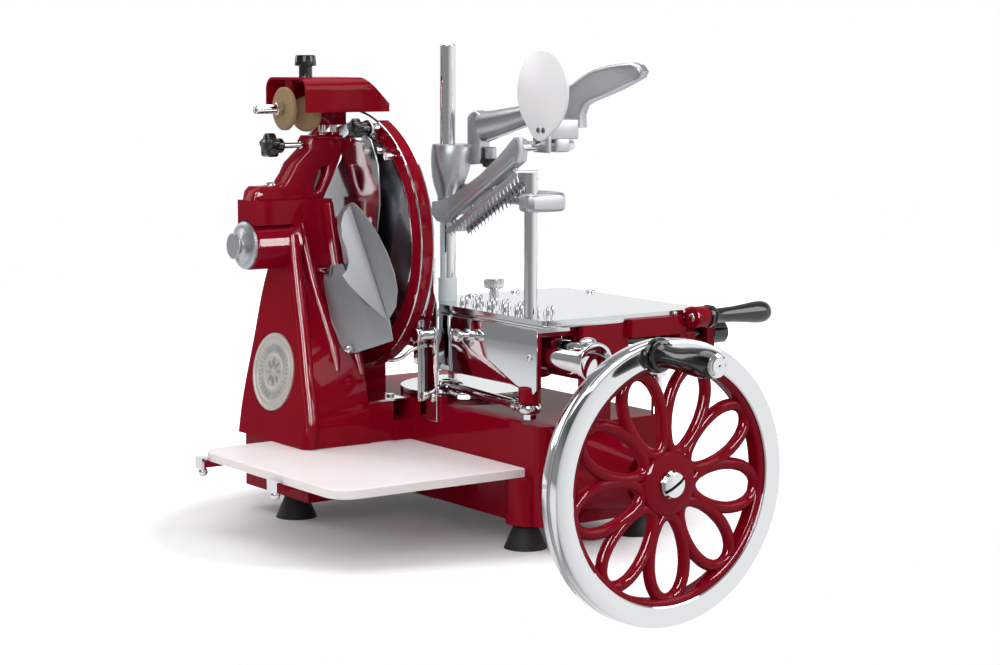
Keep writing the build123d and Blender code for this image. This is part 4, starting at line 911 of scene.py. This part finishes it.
def egg_outline():
    """A large and a small circle with the lines that touch both."""
    line = []
    for step in range(EGG_POINTS):
        angle = 2 * pi * step / EGG_POINTS
        facing = Vector((cos(angle), sin(angle)))
        if EGG_TOP.dot(facing) + EGG_TOP_RADIUS > EGG_FOOT.dot(facing) + EGG_FOOT_RADIUS:
            line.append(tuple(EGG_TOP + facing * EGG_TOP_RADIUS))
        else:
            line.append(tuple(EGG_FOOT + facing * EGG_FOOT_RADIUS))
    return line


dress(plate([egg_outline()], 4, (25, 0, 0), Y_AXIS, X_AXIS, 1.5), "guard_disc_white", "white_plastic",
      "press", ["oval_guard"], smooth=50)
for number, y in enumerate((-124, -134)):
    dress(slotted_screw((25, y, 493), TO_LEFT, 3.4, 1.4, 0.5 + number), f"guard_disc_screw_{number}",
          "machine_steel", "press")


# ---- counter, studio light and backdrop ------------------------------------------------
COUNTER_EDGE = -300.0
SHADOW_WIDE, SHADOW_DEEP = 0.46, 0.33


def pale_surface():
    # matt white laminate of the counter; it keeps the soft shadow of the machine, and a painted white
    # glow,
    #     seen by the camera alone, grows further away and turns it to the white of the backdrop
    material, tree, shader, place = surface("white_laminate_with_painted_glow", "#E9E9E9", 0.6)
    centre = at(-20, 60, 0)
    location = (-centre.x / SHADOW_WIDE, -centre.y / SHADOW_DEEP, 0)
    scale = (1 / SHADOW_WIDE, 1 / SHADOW_DEEP, 0)
    oval = add(tree, "ShaderNodeMapping", {"Location": location, "Scale": scale}, {"Vector": place})
    far = add(tree, "ShaderNodeVectorMath", links={0: oval.outputs["Vector"]}, operation="LENGTH")
    fade = between(tree, far.outputs["Value"], 0.06, 1.0, 0.75, 1.25)
    eye = add(tree, "ShaderNodeLightPath").outputs["Is Camera Ray"]
    # painted glow: white emission for camera rays, faint near the machine and full further away
    painted_glow = add(tree, "ShaderNodeMath", links={0: fade, 1: eye}, operation="MULTIPLY")
    shader.inputs["Emission Color"].default_value = (1, 1, 1, 1)
    tree.links.new(painted_glow.outputs[0], shader.inputs["Emission Strength"])
    return material


bpy.ops.object.select_all(action="DESELECT")
bpy.ops.mesh.primitive_cube_add(size=1, location=at(0, COUNTER_EDGE + 1600, -20), scale=(7.0, 3.2, 0.04))
counter = bpy.context.object
counter.name = "counter"
bpy.ops.object.transform_apply(location=True, rotation=True, scale=True)
rounded = counter.modifiers.new("edge", "BEVEL")
rounded.width = 0.015
rounded.segments = 6
bpy.ops.object.modifier_apply(modifier="edge")
bpy.ops.object.shade_smooth_by_angle(angle=radians(40))
counter.data.materials.append(pale_surface())


def soft_light(name, place, target, size, power, size_y=None):
    """A rectangular lamp at a design point, turned to another; the camera doesn't see it."""
    bpy.ops.object.select_all(action="DESELECT")
    bpy.ops.object.light_add(type="AREA", location=at(*place))
    lamp = bpy.context.object
    lamp.name = name
    lamp.data.shape = "RECTANGLE"
    lamp.data.size = size
    lamp.data.size_y = size_y or size
    lamp.data.energy = power
    lamp.rotation_euler = (at(*target) - at(*place)).to_track_quat("-Z", "Y").to_euler()
    lamp.visible_camera = False
    return lamp


soft_light("key_softbox", (-1500, -1300, 1500), (0, 0, 200), 1.2, 19, 1.6)
soft_light("right_softbox", (1300, -1550, 1350), (0, -100, 200), 1.0, 17, 1.4)
soft_light("top_softbox", (0, 200, 2000), (0, 0, 100), 1.8, 23)
soft_light("rear_strip", (-900, 1700, 1300), (0, 100, 250), 0.5, 7, 1.6)
# strong lamps that only the enamel's gloss sees draw the white lines on ribs and corners
enamelled = bpy.data.collections.new("enamelled")
for piece in bpy.data.objects:
    if piece.type == "MESH" and FINISHES["red_enamel"].name in piece.data.materials:
        enamelled.objects.link(piece)
for name, place, size, power in [("gloss_left", (-1750, -200, 900), 0.4, 130),
                                 ("gloss_middle", (-1450, -1400, 1000), 0.7, 230),
                                 ("gloss_front", (350, -2250, 900), 0.35, 110)]:
    lamp = soft_light(name, place, (0, 0, 300), size, power, 1.5)
    lamp.visible_diffuse = False
    lamp.light_linking.receiver_collection = enamelled

# the backdrop is white to the eye; polished metal sees it white on the right and grey on
# the left, darker overhead
world = bpy.data.worlds.new("studio")
bpy.context.scene.world = world
world.use_nodes = True
tree = world.node_tree
tree.nodes.clear()
rays = add(tree, "ShaderNodeLightPath")
direction = add(tree, "ShaderNodeTexCoord").outputs["Generated"]
parts = add(tree, "ShaderNodeSeparateXYZ", links={"Vector": direction})
sideways = between(tree, parts.outputs["X"], 0.28, 1.0, -0.6, 0.5)
upward = between(tree, parts.outputs["Z"], 1.0, 0.35, 0.22, 0.5)
glow = add(tree, "ShaderNodeMath", links={0: sideways, 1: upward}, operation="MULTIPLY").outputs[0]
dim = add(tree, "ShaderNodeBackground", {"Color": srgb("#F4F6FA"), "Strength": 0.46})
white = add(tree, "ShaderNodeBackground", {"Color": (1, 1, 1, 1), "Strength": 1.0})
seen = add(tree, "ShaderNodeMath", links={0: rays.outputs["Is Camera Ray"],
                                          1: rays.outputs["Is Transmission Ray"]}, operation="MAXIMUM")
mirrored = add(tree, "ShaderNodeBackground", {"Color": srgb("#FFFFFF")}, {"Strength": glow})
glossy = rays.outputs["Is Glossy Ray"]
unseen = add(tree, "ShaderNodeMixShader", links={0: glossy, 1: dim.outputs[0], 2: mirrored.outputs[0]})
choose = add(tree, "ShaderNodeMixShader",
             links={0: seen.outputs[0], 1: unseen.outputs[0], 2: white.outputs[0]})
add(tree, "ShaderNodeOutputWorld", links={"Surface": choose.outputs[0]})
bpy.context.scene.view_settings.view_transform = "Standard"
